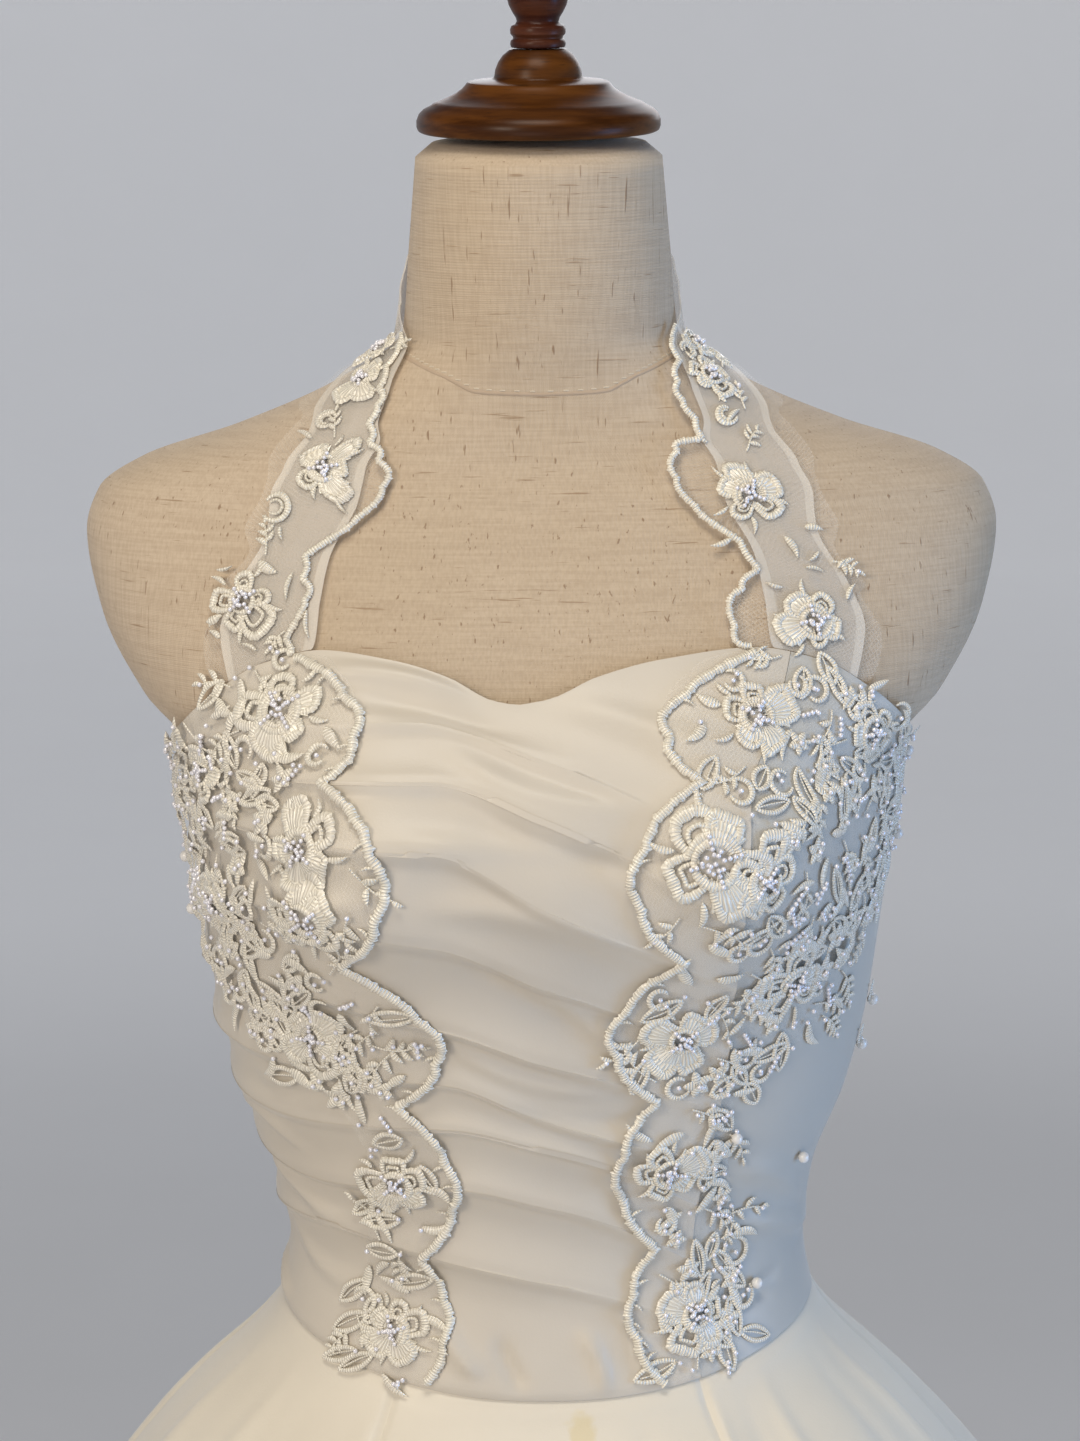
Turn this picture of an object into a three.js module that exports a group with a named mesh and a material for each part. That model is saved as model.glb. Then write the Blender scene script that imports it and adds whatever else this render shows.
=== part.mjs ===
// A halter wedding dress on a limbless linen dress form.
// The bodice is draped in slanting pleats and edged with embroidered lace, which runs on up the halter straps.
// Millimetres, +Z up. The origin is on the floor, under the middle of the stand, and the front faces -Y.
// Angles run round the body in degrees: 0 is the middle of the front, 90 the side at +X, 180 the middle of the back.
import * as THREE from "three";

// Driving sizes of the cloth and its seams.
const clothGap = 1.5; // between the form and the inside of the cloth
const bodiceWall = 1.5;
const bodiceOut = clothGap + bodiceWall; // the bodice's outer face, measured from the form
const seamGap = 0.3;
const seamAngle = 0.25; // the same gap, as an angle round the waist
const princessGap = 0.6; // the same over the cup, where the wall turns fastest
const laceLift = 1.3; // between the bodice and the lace sewn on it
const laceWall = 1.2;
const strapGap = 2; // between the form and the straps
const strapWall = 1.0;
const strapLaceLift = 0.5; // between a strap and its lace, which share their rows and so their facets
const skirtWall = 2.2; // measured level, so a slanting skirt is about 1.6 thick
const hemHeight = 12; // the hem hangs just clear of the floor

// Driving sizes of the form and its stand.
const formBottom = 835;
const neckTop = 1493;
const neckTilt = 3.5; // the neck's top leans forward, degrees
const neckTiltStart = 1413;
const poleRadius = 16;
const baseRadius = 180;
const baseTop = 62;

// Where the pieces meet, as angles round the body.
const leftSideSeam = -98;
const rightSideSeam = 92;
const princessSeam = 30; // where the draped panel ends and the plain side panel starts
const waistSide = 1004; // height of the waist seam at the side and back
const waistDip = 20; // how much lower it is at the front

const radians = Math.PI / 180;
const mix = (a, b, t) => a + (b - a) * t;
const clamp = (x, low, high) => Math.min(high, Math.max(low, x));
const bell = (x, spread) => Math.exp(-((x / spread) ** 2));
const smooth = (x) => clamp(x, 0, 1) ** 2 * (3 - 2 * clamp(x, 0, 1));
const steps = (from, to, count) => Array.from({ length: count + 1 }, (_, i) => mix(from, to, i / count));

// A smooth curve through one column of a table, with no overshoot between its rows.
function curveThrough(rows, key, column) {
  const slope = rows.slice(1).map((r, i) => (r[column] - rows[i][column]) / (r[key] - rows[i][key]));
  const tangent = rows.map((r, i) => {
    if (i === 0) return slope[0];
    if (i === rows.length - 1) return slope[i - 1];
    const [before, after] = [slope[i - 1], slope[i]];
    return before * after <= 0 ? 0 : (2 * before * after) / (before + after);
  });
  return (at) => {
    const x = clamp(at, rows[0][key], rows[rows.length - 1][key]);
    const i = clamp(rows.findIndex((r) => r[key] > x) - 1, -1, rows.length - 2);
    const k = i < 0 ? (x <= rows[0][key] ? 0 : rows.length - 2) : i;
    const span = rows[k + 1][key] - rows[k][key];
    const t = (x - rows[k][key]) / span;
    return (
      rows[k][column] * (2 * t ** 3 - 3 * t ** 2 + 1) +
      span * tangent[k] * (t ** 3 - 2 * t ** 2 + t) +
      rows[k + 1][column] * (3 * t ** 2 - 2 * t ** 3) +
      span * tangent[k + 1] * (t ** 3 - t ** 2)
    );
  };
}

// Turns a list of column names and rows of numbers into rows with named columns.
const table = (columns, rows) => rows.map((r) => Object.fromEntries(columns.map((c, i) => [c, r[i]])));

// Level sections of the dress form, from the hips to the top of the neck.
const formSections = table(
  ["height", "half", "front", "back", "middle"],
  [
    [835, 148, 96, 104, 4],
    [860, 154, 100, 108, 4],
    [930, 143, 97, 100, 2],
    [1000, 112, 84, 83, 0],
    [1030, 107, 81, 79, 0],
    [1060, 110.5, 84, 80, 0],
    [1100, 125, 94, 87, 0],
    [1140, 134.5, 102, 94, 0],
    [1185, 140.5, 107, 99, 0],
    [1225, 145.5, 108, 102, 0],
    [1244, 148, 105, 102, 1],
    [1266, 166.5, 99, 101, 3],
    [1300, 183.5, 89, 98, 7],
    [1332, 189.3, 78, 90, 11],
    [1349, 183.8, 71, 83, 12],
    [1361, 166, 66, 76, 12],
    [1374, 126.6, 62, 69, 11],
    [1393, 83.2, 58, 61, 8],
    [1413, 56.5, 56, 56, 3],
    [1447, 53.1, 53.5, 53.5, -4],
    [1493, 48.8, 48.8, 48.8, -13],
  ],
);
const section = Object.fromEntries(
  ["half", "front", "back", "middle"].map((c) => [c, curveThrough(formSections, "height", c)]),
);
const squareness = 2.2; // 2 is an ellipse
const bust = { height: 1210, side: 78, depth: 26, wide: 46, above: 58, below: 44 };
const dressedBust = { extra: 2, bridge: 14, bridgeWide: 40 }; // the cups of the bodice stand a little prouder

// How far the bust stands out of the section. Cloth bridges the hollow between the cups.
function bustDepth(x, height, dressed) {
  const tall = height > bust.height ? bust.above : bust.below;
  const up = bell(height - bust.height, tall);
  const cups = bell(x - bust.side, bust.wide) + bell(x + bust.side, bust.wide);
  if (!dressed) return up * bust.depth * cups;
  const bridge = dressedBust.bridge * bell(x, dressedBust.bridgeWide);
  return up * ((bust.depth + dressedBust.extra) * cups + bridge);
}

// A point of the form's surface, or of the smooth surface that the cloth follows when dressed is true.
function bodyPoint(angle, height, dressed) {
  const [s, c] = [Math.sin(angle * radians), Math.cos(angle * radians)];
  const power = (v) => Math.sign(v) * Math.abs(v) ** (2 / squareness);
  const x = section.half(height) * power(s);
  const deep = c > 0 ? section.front(height) : section.back(height);
  const middle = section.middle(height);
  const y = middle - deep * power(c) - bustDepth(x, height, dressed) * clamp(3 * c, 0, 1);
  const lean = smooth((height - neckTiltStart) / (neckTop - neckTiltStart)) * Math.tan(neckTilt * radians);
  return new THREE.Vector3(x, y, height + (y - middle) * lean);
}

// The point that lies a given distance outside a surface, along the surface's own normal.
function raised(surface, angle, height, out) {
  const [turn, rise] = [0.5, 1];
  const along = surface(angle + turn, height).sub(surface(angle - turn, height));
  const upward = surface(angle, height + rise).sub(surface(angle, height - rise));
  return surface(angle, height).addScaledVector(along.cross(upward).normalize(), out);
}
const onCloth = (angle, height, out) => raised((a, h) => bodyPoint(a, h, true), angle, height, out);
const onForm = (angle, height, out) => raised((a, h) => bodyPoint(a, h, false), angle, height, out);

// Height of the bodice's top edge: a sweetheart dip, a peak over each cup, then down to a low back.
const necklineRows = table(
  ["angle", "height"],
  [
    [0, 1274], [3, 1276], [8, 1284], [15, 1290], [25, 1293.5], [35, 1288],
    [46, 1276], [60, 1262], [90, 1246], [120, 1237], [150, 1226], [180, 1218],
  ],
);
const necklineCurve = curveThrough(necklineRows, "angle", "height");
const dipShift = { angle: 2.6, spread: 24 }; // the dip lies a little to the -X side
const neckline = (angle) => necklineCurve(Math.abs(angle + dipShift.angle * bell(angle, dipShift.spread)));
const waistSeam = (angle) => waistSide - waistDip * Math.max(0, Math.cos(angle * radians)) ** 2;

// A closed solid from two grids of points, an outer and an inner one, joined round their edges.
// Rows run down and columns run with the angle.
function wallGeometry(outer, inner) {
  const [rows, columns] = [outer.length, outer[0].length];
  const points = [...outer.flat(), ...inner.flat()];
  const o = (r, c) => r * columns + c;
  const i = (r, c) => rows * columns + r * columns + c;
  const faces = [];
  const quad = (a, b, c, d) => faces.push(a, b, c, a, c, d);
  for (let r = 0; r < rows - 1; r++) {
    for (let c = 0; c < columns - 1; c++) {
      quad(o(r, c), o(r + 1, c), o(r + 1, c + 1), o(r, c + 1));
      quad(i(r, c), i(r, c + 1), i(r + 1, c + 1), i(r + 1, c));
    }
    quad(o(r + 1, 0), o(r, 0), i(r, 0), i(r + 1, 0));
    quad(o(r, columns - 1), o(r + 1, columns - 1), i(r + 1, columns - 1), i(r, columns - 1));
  }
  for (let c = 0; c < columns - 1; c++) {
    quad(o(0, c), o(0, c + 1), i(0, c + 1), i(0, c));
    quad(o(rows - 1, c + 1), o(rows - 1, c), i(rows - 1, c), i(rows - 1, c + 1));
  }
  return geometryOf(points, faces);
}

function geometryOf(points, faces) {
  const geometry = new THREE.BufferGeometry();
  geometry.setAttribute("position", new THREE.Float32BufferAttribute(points.flatMap((p) => p.toArray()), 3));
  geometry.setIndex(faces);
  geometry.computeVertexNormals();
  return geometry;
}

const materials = {
  satin: new THREE.MeshStandardMaterial({ color: 0xe9e0cf, roughness: 0.45, metalness: 0 }),
  lace: new THREE.MeshStandardMaterial({ color: 0xf3ecdd, roughness: 0.5, metalness: 0 }),
  organza: new THREE.MeshStandardMaterial({ color: 0xeadfcc, roughness: 0.6, metalness: 0 }),
  linen: new THREE.MeshStandardMaterial({ color: 0xd3bd9f, roughness: 0.9, metalness: 0 }),
  wood: new THREE.MeshStandardMaterial({ color: 0x4a2c12, roughness: 0.35, metalness: 0 }),
};

const part = new THREE.Group();
function add(name, geometry, material) {
  const mesh = new THREE.Mesh(geometry, material);
  mesh.name = name;
  part.add(mesh);
  return mesh;
}

// The form's covered body, from the hips to the top of the neck, as closed rings.
function formTorso() {
  const round = steps(-180, 180, 40).slice(0, -1);
  const heights = [
    835, 842, 860, 930, 970, 995, 1012, 1030, 1048, 1070, 1105, 1150, 1185, 1210, 1232, 1247, 1262,
    1280, 1300, 1325, 1342, 1353, 1361, 1369, 1378, 1388, 1400, 1407, 1416, 1447, 1493,
  ];
  const rim = { 835: 8 }; // the bottom edge is rounded in by this much
  const points = [];
  heights.forEach((h) => round.forEach((a) => points.push(onForm(a, h, -(rim[h] ?? 0)).setZ(bodyPoint(a, h, false).z))));
  const count = round.length;
  const at = (r, c) => r * count + (c % count);
  const faces = [];
  for (let r = 0; r < heights.length - 1; r++) {
    for (let c = 0; c < count; c++) {
      faces.push(at(r, c), at(r, c + 1), at(r + 1, c + 1), at(r, c), at(r + 1, c + 1), at(r + 1, c));
    }
  }
  const last = heights.length - 1;
  const bottom = points.push(new THREE.Vector3(0, section.middle(formBottom), formBottom)) - 1;
  const top = points.push(new THREE.Vector3(0, section.middle(neckTop), neckTop)) - 1;
  for (let c = 0; c < count; c++) faces.push(bottom, at(0, c + 1), at(0, c), top, at(last, c), at(last, c + 1));
  add("form_torso", geometryOf(points, faces), materials.linen);
}

// A turned piece from its profile, as pairs of radius and height, standing on +Z.
function turned(profile, segments) {
  const points = profile.map(([r, h]) => new THREE.Vector2(r, h));
  return new THREE.LatheGeometry(points, segments).rotateX(Math.PI / 2);
}

// The neck cap and its finial lean with the top of the neck.
function neckCap() {
  const cap = turned(
    [[0, 0], [48, 0], [49, 2], [49, 5], [46.5, 8.8], [42, 11], [35.5, 14], [30, 17], [28.5, 19.5], [17.5, 21],
      [16.8, 25], [14.4, 29], [11, 32.6], [0, 32.6]],
    28,
  );
  const finial = turned(
    [[0, 33], [10.6, 33], [11, 35], [10, 37], [11, 39], [10.6, 42], [8.6, 43.4], [10.6, 47], [12.4, 53], [12.2, 59],
      [9.6, 66], [5, 71], [0, 73]],
    16,
  );
  for (const [name, geometry] of [["form_neck_cap", cap], ["form_finial", finial]]) {
    const mesh = add(name, geometry, materials.wood);
    mesh.position.set(0, section.middle(neckTop), neckTop + seamGap);
    mesh.rotation.x = neckTilt * radians;
  }
}

function stand() {
  add("stand_base", turned([[0, 0], [baseRadius - 6, 0], [baseRadius, 6], [baseRadius, 16], [baseRadius - 8, 24],
    [60, 30], [34, 42], [28, baseTop], [0, baseTop]], 32), materials.wood);
  const poleTop = formBottom - seamGap;
  add("stand_pole", turned([[0, baseTop + seamGap], [poleRadius, baseTop + seamGap], [poleRadius, poleTop - 22],
    [44, poleTop - 8], [44, poleTop], [0, poleTop]], 20), materials.wood);
}

// Each pleat's fold line, as its height where it crosses five angles, and how far it stands out there.
const pleatAngles = { side: leftSideSeam, left: -50, front: -15, middle: 3, right: princessSeam };
const pleats = table(
  ["side", "left", "front", "middle", "right", "depth"],
  [
    [1228, 1260, 1267, 1250, 1218, 2.4],
    [1208, 1246, 1246, 1229, 1196, 2.8],
    [1190, 1226, 1222, 1198, 1165, 2.6],
    [1170, 1198, 1187, 1165, 1134, 3.0],
    [1151, 1163, 1150, 1132, 1109, 3.0],
    [1132, 1127, 1125, 1106, 1086, 3.2],
    [1108, 1102, 1105, 1094, 1065, 2.8],
    [1083, 1074, 1078, 1068, 1040, 3.0],
    [1048, 1053, 1042, 1033, 1013, 2.6],
  ],
);
const pleatLines = pleats.map((p) => {
  const stations = Object.entries(pleatAngles).map(([name, angle]) => ({ angle, height: p[name] }));
  return { heightAt: curveThrough(stations, "angle", "height"), depth: p.depth };
});
const pleatFade = (angle) => mix(1, 0.4, smooth((angle + 5) / (princessSeam + 5)));
const pleatLip = 3; // the cloth falls back this far below a fold line

// Rows of the draped panel. Each one follows the pleats, so every fold is a crisp line of the wall.
function drapeRows() {
  const rows = [{ heightAt: neckline, out: 0 }];
  const bounds = [{ heightAt: neckline }, ...pleatLines, { heightAt: waistSeam, depth: 1.2 }];
  bounds.slice(1).forEach((line, i) => {
    const above = bounds[i].heightAt;
    const isPleat = i < pleatLines.length;
    const between = i === 0 ? [0.25, 0.5, 0.75] : [0.55]; // the first band is the tallest
    for (const t of between) {
      rows.push({ heightAt: (a) => mix(above(a), line.heightAt(a), t), out: 0.6 * t * line.depth });
    }
    rows.push({ heightAt: line.heightAt, out: line.depth });
    if (isPleat) rows.push({ heightAt: (a) => line.heightAt(a) - pleatLip, out: 0 });
  });
  return rows;
}

function bodicePanel(name, fromAngle, toAngle, columns, rows) {
  const angles = steps(fromAngle, toAngle, columns);
  const grid = (outAt) => rows.map((r) => angles.map((a) => onCloth(a, r.heightAt(a), outAt(r, a))));
  const inner = grid(() => clothGap);
  const outer = grid((r, a) => bodiceOut + r.out * pleatFade(a));
  add(name, wallGeometry(outer, inner), materials.satin);
}

function bodice() {
  bodicePanel("bodice_drape", leftSideSeam, princessSeam, 22, drapeRows());
  const shares = [...steps(0, 0.18, 4), ...steps(0.26, 1, 10)]; // closer at the top, where the body flares
  const plainRows = shares.map((t) => ({ heightAt: (a) => mix(neckline(a), waistSeam(a), t), out: 0 }));
  bodicePanel("bodice_side_right", princessSeam + princessGap, rightSideSeam - seamAngle, 10, plainRows);
  bodicePanel("bodice_back_right", rightSideSeam, 180 - seamAngle / 2, 9, plainRows);
  bodicePanel("bodice_back_left", -180 + seamAngle / 2, leftSideSeam - seamAngle, 9, plainRows);
}

// The button stand down the middle of the back, with its covered buttons.
const placket = { fromAngle: 176, toAngle: 187, top: 1217.5, bottom: 1005.5, lift: 0.6, wall: 1.2 };
const buttons = { count: 8, radius: 5.5, height: 5, firstBelow: 12, pitch: 26 };

function backClosing() {
  const angles = steps(placket.fromAngle, placket.toAngle, 2);
  const heights = steps(placket.top, placket.bottom, 11);
  const grid = (out) => heights.map((h) => angles.map((a) => onCloth(a, h, out)));
  const inside = bodiceOut + placket.lift;
  const outside = inside + placket.wall;
  add("bodice_placket", wallGeometry(grid(outside), grid(inside)), materials.satin);
  const middle = (placket.fromAngle + placket.toAngle) / 2;
  for (let k = 0; k < buttons.count; k++) {
    const height = placket.top - buttons.firstBelow - k * buttons.pitch;
    const seat = onCloth(middle, height, outside + 0.7);
    const away = onCloth(middle, height, outside + 10).sub(seat).normalize();
    const geometry = turned([[0, 0], [4.2, 0], [buttons.radius, 1.6], [4, 4.1], [0, buttons.height]], 8);
    const mesh = add(`button_${k + 1}`, geometry, materials.satin);
    mesh.position.copy(seat);
    mesh.quaternion.setFromUnitVectors(new THREE.Vector3(0, 0, 1), away);
  }
}

// The lace's corded inner edge: big scallops between cusps, each with small lobes of its own.
// Angles here are for the right lace, and the left one is its own table because it sits further round.
const scallopColumns = ["height", "cusp", "bulge"];
const laceSides = {
  right: {
    sign: 1,
    scallops: table(scallopColumns, [
      [1292, 26, 9], [1246, 22, 9], [1179, 21, 9.5], [1116, 17.5, 7], [1048, 21, 5.5], [988, 22, 0],
    ]),
    outer: table(["along", "angle", "height"], [
      [0, 70, 1256], [0.08, 84, 1238], [0.18, 82, 1216], [0.28, 74, 1192], [0.38, 62, 1166], [0.48, 53, 1142],
      [0.54, 41, 1126], [0.6, 33, 1112], [0.68, 34, 1092], [0.8, 41, 1056], [0.92, 45, 1018], [1, 37, 989],
    ]),
    flowers: table(["angle", "height", "radius"], [
      [27, 1268, 19], [52, 1256, 15], [28, 1216, 24], [43, 1161, 18], [21, 1143, 16], [22, 1083, 15], [31, 1016, 17],
    ]),
  },
  left: {
    sign: -1,
    scallops: table(scallopColumns, [
      [1292, 31, 8], [1245, 32, 8], [1177, 32, 12], [1114, 24.5, 8.5], [1044, 25, 4], [989, 23, 0],
    ]),
    outer: table(["along", "angle", "height"], [
      [0, 86, 1246], [0.1, 88, 1220], [0.22, 84, 1196], [0.34, 75, 1170], [0.44, 62, 1146], [0.53, 47, 1122],
      [0.6, 36, 1110], [0.66, 33, 1094], [0.74, 34, 1074], [0.83, 39, 1043], [0.92, 43, 1012], [1, 36, 989],
    ]),
    flowers: table(["angle", "height", "radius"], [
      [33, 1270, 18], [60, 1243, 14], [37, 1209, 24], [62, 1190, 16], [40, 1140, 16], [28, 1079, 16], [32, 1010, 15],
    ]),
  },
};
const lobesPerScallop = 3;
const lobeDepth = 1.1; // degrees

// How far round the corded edge lies at a height: a scallop bulges towards the middle of the front.
function cordAngle(side, height) {
  const rows = side.scallops;
  const found = rows.findIndex((r, i) => i > 0 && height >= r.height);
  const k = found < 0 ? rows.length - 1 : found;
  const [above, below] = [rows[k - 1], rows[k]];
  const t = clamp((above.height - height) / (above.height - below.height), 0, 1);
  const arch = Math.sin(Math.PI * t) ** 0.8;
  const lobes = Math.abs(Math.sin(Math.PI * t * lobesPerScallop)) * arch;
  return mix(above.cusp, below.cusp, t) - above.bulge * arch - lobeDepth * lobes;
}

// A flower stands up as five petals round a beaded middle.
function flowerLift(side, angle, height) {
  const petals = 5;
  return Math.max(
    ...side.flowers.map((f) => {
      const across = (angle - f.angle) * radians * section.half(height);
      const up = height - f.height;
      const r = Math.hypot(across, up) / f.radius;
      const shape = 0.75 + 0.25 * Math.cos(petals * Math.atan2(up, across));
      return r > 1 ? 0 : 2.2 * shape * Math.sin(Math.PI * clamp(r + 0.25, 0, 1)) ** 0.7;
    }),
  );
}

// How far the lace stays off the bodice, so that it lies over the folds, and bridges the armholes' flare.
const armholeCover = { depth: 0.9, angle: 56, height: 1252, tall: 18 };
const deepestPleat = Math.max(...pleats.map((p) => p.depth));
function foldCover(angle, height) {
  const ends = 1 - smooth((angle - princessSeam + 2) / 6);
  const under = 1 - smooth((height - pleatLines[0].heightAt(angle) - 4) / 14);
  const beyond = smooth((Math.abs(angle) - armholeCover.angle) / 12);
  const flare = armholeCover.depth * beyond * bell(height - armholeCover.height, armholeCover.tall);
  return deepestPleat * pleatFade(angle) * ends * mix(0.6, 1, under) + flare;
}

function laceApplique(name, side) {
  const columns = steps(0, 1, 10);
  const rows = steps(0, 1, 28);
  const top = side.scallops[0].height;
  const bottom = side.scallops[side.scallops.length - 1].height;
  const outerAngle = curveThrough(side.outer, "along", "angle");
  const outerHeight = curveThrough(side.outer, "along", "height");
  const edge = 1.5; // kept inside the bodice's top and bottom edges
  const place = (across, along) => {
    const cordHeight = mix(top, bottom, along);
    const angle = mix(cordAngle(side, cordHeight), outerAngle(along), across);
    const height = mix(cordHeight, outerHeight(along), across);
    const highest = neckline(angle) - edge;
    const lowest = waistSeam(angle) + edge;
    const toTop = 1 - smooth(along / 0.12);
    const toBottom = smooth((along - 0.93) / 0.07);
    return { angle, height: clamp(mix(mix(height, highest, toTop), lowest, toBottom), lowest, highest) };
  };
  const grid = (outAt) =>
    rows.map((along) =>
      columns.map((across) => {
        const { angle, height } = place(across, along);
        const signed = angle * side.sign;
        const under = bodiceOut + foldCover(signed, height) + laceLift;
        return onCloth(signed, height, under + outAt(angle, height, across));
      }),
    );
  const cordLift = (across) => 1.4 * bell(across, 0.06);
  const inner = grid(() => 0);
  const outer = grid((angle, height, across) => laceWall + flowerLift(side, angle, height) + cordLift(across));
  const ordered = (rowsOf) => (side.sign > 0 ? rowsOf : rowsOf.map((r) => [...r].reverse()));
  add(name, wallGeometry(ordered(outer), ordered(inner)), materials.lace);
}

// The halter strap's run over the shoulder to the nape, as its neck edge and its shoulder edge on the form.
const strapRun = table(
  ["along", "neckAngle", "neckHeight", "armAngle", "armHeight"],
  [
    [0, 28, 1293.6, 43, 1280.6],
    [0.1, 26, 1308, 42, 1298],
    [0.25, 24, 1328, 38, 1316],
    [0.4, 21, 1350, 33, 1338],
    [0.52, 25, 1369, 35, 1358],
    [0.63, 33, 1380, 46, 1375],
    [0.75, 42, 1392, 60, 1384],
    [0.88, 58, 1408, 79, 1395],
    [1, 84, 1424, 92, 1402],
  ],
);
const strapAt = Object.fromEntries(
  ["neckAngle", "neckHeight", "armAngle", "armHeight"].map((c) => [c, curveThrough(strapRun, "along", c)]),
);

// A place on the strap. Its foot follows the bodice's top edge, which it is sewn to.
function strapPlace(sign, along, across) {
  const angle = mix(strapAt.neckAngle(along), strapAt.armAngle(along), across);
  const free = mix(strapAt.neckHeight(along), strapAt.armHeight(along), across);
  const foot = neckline(sign * angle) + seamGap;
  return { angle, height: mix(foot, free, smooth(along / 0.12)) };
}

// A ribbon on the form. Place gives each column's angle and height, and faces its two distances from the form.
function ribbon(name, sign, alongs, columns, place, faces, material) {
  const numbers = steps(0, columns - 1, columns - 1);
  const grid = (face) =>
    [...alongs].reverse().map((along) =>
      numbers.map((column) => {
        const { angle, height } = place(along, column);
        return onForm(sign * angle, height, faces(along, column)[face]);
      }),
    );
  const ordered = (rows) => (sign > 0 ? rows : rows.map((r) => [...r].reverse()));
  add(name, wallGeometry(ordered(grid(1)), ordered(grid(0))), material);
}

// The strap's lace: how far its scalloped edge passes the net's neck edge, and its flower tips the shoulder edge,
// as shares of the strap's width. The two straps are cut from different stretches of the same lace.
const strapEdges = table(
  ["along", "left", "right", "tips"],
  [
    [0, -0.2, 0.25, 0.08], [0.07, -0.26, 0.32, 0.24], [0.14, -0.12, 0.2, 0.14], [0.21, -0.2, 0.03, 0.08],
    [0.27, -0.25, 0.12, 0.24], [0.34, 0.1, 0.4, 0.12], [0.42, 0.24, 0.46, 0.28], [0.49, 0.1, 0.36, 0.1],
    [0.55, -0.1, 0.03, 0.2], [0.62, -0.1, 0.16, 0.3], [0.69, -0.05, 0.26, 0.14], [0.76, -0.12, 0.22, 0.26],
    [0.84, -0.15, 0.05, 0.12], [0.93, -0.1, 0.12, 0.2],
  ],
);
const strapFlowers = [0.09, 0.42, 0.75];
const strapEdgeAt = Object.fromEntries(
  ["left", "right", "tips"].map((c) => [c, curveThrough(strapEdges, "along", c)]),
);

const strapEdgeRun = 0.04; // the least width of the lace's first column

function straps() {
  const alongs = steps(0, 1, 26);
  const laceAlongs = alongs.slice(0, -2);
  const shares = steps(0, 1, 3);
  const laceShares = (side, along) => {
    const scallop = -strapEdgeAt[side](along);
    const [, second, third, last] = shares;
    return [scallop, Math.max(0, scallop + strapEdgeRun), second, third, last, last + strapEdgeAt.tips(along)];
  };
  for (const [side, sign] of [["left", -1], ["right", 1]]) {
    const netPlace = (along, column) => strapPlace(sign, along, shares[column]);
    const netFaces = () => [strapGap, strapGap + strapWall];
    ribbon(`strap_net_${side}`, sign, alongs, shares.length, netPlace, netFaces, materials.organza);
    const lacePlace = (along, column) => strapPlace(sign, along, laceShares(side, along)[column]);
    const laceFaces = (along, column) => {
      const inside = strapGap + strapWall + strapLaceLift;
      const nearest = Math.min(...strapFlowers.map((f) => Math.abs(along - f)));
      const across = clamp(laceShares(side, along)[column], 0, 1);
      return [inside, inside + laceWall + 2 * bell(nearest, 0.07) * Math.sin(Math.PI * across)];
    };
    const laceColumns = laceShares(side, 0).length;
    ribbon(`strap_lace_${side}`, sign, laceAlongs, laceColumns, lacePlace, laceFaces, materials.lace);
  }
}

// The plain band that joins the two straps behind the neck. Its ends slant as the straps' ends do.
const napeRun = table(
  ["angle", "top", "bottom"],
  [[84, 1424, 1402], [105, 1442, 1416], [135, 1458, 1428], [180, 1464, 1434]],
);
const napeEnd = { gap: 0.5, slant: 8, spread: 14 };

function neckBand() {
  const top = curveThrough(napeRun, "angle", "top");
  const bottom = curveThrough(napeRun, "angle", "bottom");
  const end = napeRun[0].angle;
  const folded = (angle) => (angle > 180 ? 360 - angle : angle);
  const inset = (angle, t) => napeEnd.gap + napeEnd.slant * t * bell(folded(angle) - end, napeEnd.spread);
  const grid = (out) =>
    steps(0, 1, 3).map((t) =>
      steps(end, 360 - end, 18).map((a) => {
        const place = a + (a > 180 ? -inset(a, t) : inset(a, t));
        return onForm(place, mix(top(folded(a)), bottom(folded(a)), t), out);
      }),
    );
  add("neck_band", wallGeometry(grid(strapGap + strapWall), grid(strapGap)), materials.organza);
}

// The skirt: how far it stands out of the waist at each drop below the seam, and its folds.
const flare = table(
  ["drop", "out"],
  [[0, 0], [6, 3], [19, 13], [43, 37], [74, 63], [130, 101], [220, 149], [350, 202], [550, 266], [750, 315], [992, 362]],
);
const flareAt = curveThrough(flare, "drop", "out");
const folds = table(
  ["angle", "spread", "depth", "start"],
  [
    [-164, 9, 34, 60], [-141, 8, 28, 90], [-118, 9, 36, 60], [-93, 8, 30, 70], [-68, 9, 34, 120], [-43, 8, 27, 150],
    [-19, 9, 31, 170], [5, 8, 24, 190], [22, 7, 30, 20], [57, 10, 34, 15], [84, 7, 27, 90], [104, 9, 35, 60],
    [127, 8, 29, 90], [151, 9, 33, 70], [175, 8, 28, 100],
  ],
);
const aroundTo = (angle, other) => ((((angle - other + 180) % 360) + 360) % 360) - 180;

function foldOut(angle, drop, length) {
  return folds.reduce((sum, f) => {
    const grown = clamp((drop - f.start) / (length - f.start), 0, 1) ** 0.8;
    return sum + f.depth * grown * bell(aroundTo(angle, f.angle), f.spread);
  }, 0);
}

function skirtPoint(angle, share, inward) {
  const seam = waistSeam(angle);
  const top = seam - 2 * seamGap;
  const height = mix(top, hemHeight, share);
  const drop = top - height;
  const waist = onCloth(angle, seam, bodiceOut);
  const out = flareAt(drop) + foldOut(angle, drop, top - hemHeight) - inward;
  const away = [Math.sin(angle * radians), -Math.cos(angle * radians)];
  return new THREE.Vector3(waist.x + out * away[0], waist.y + out * away[1], height);
}

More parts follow.
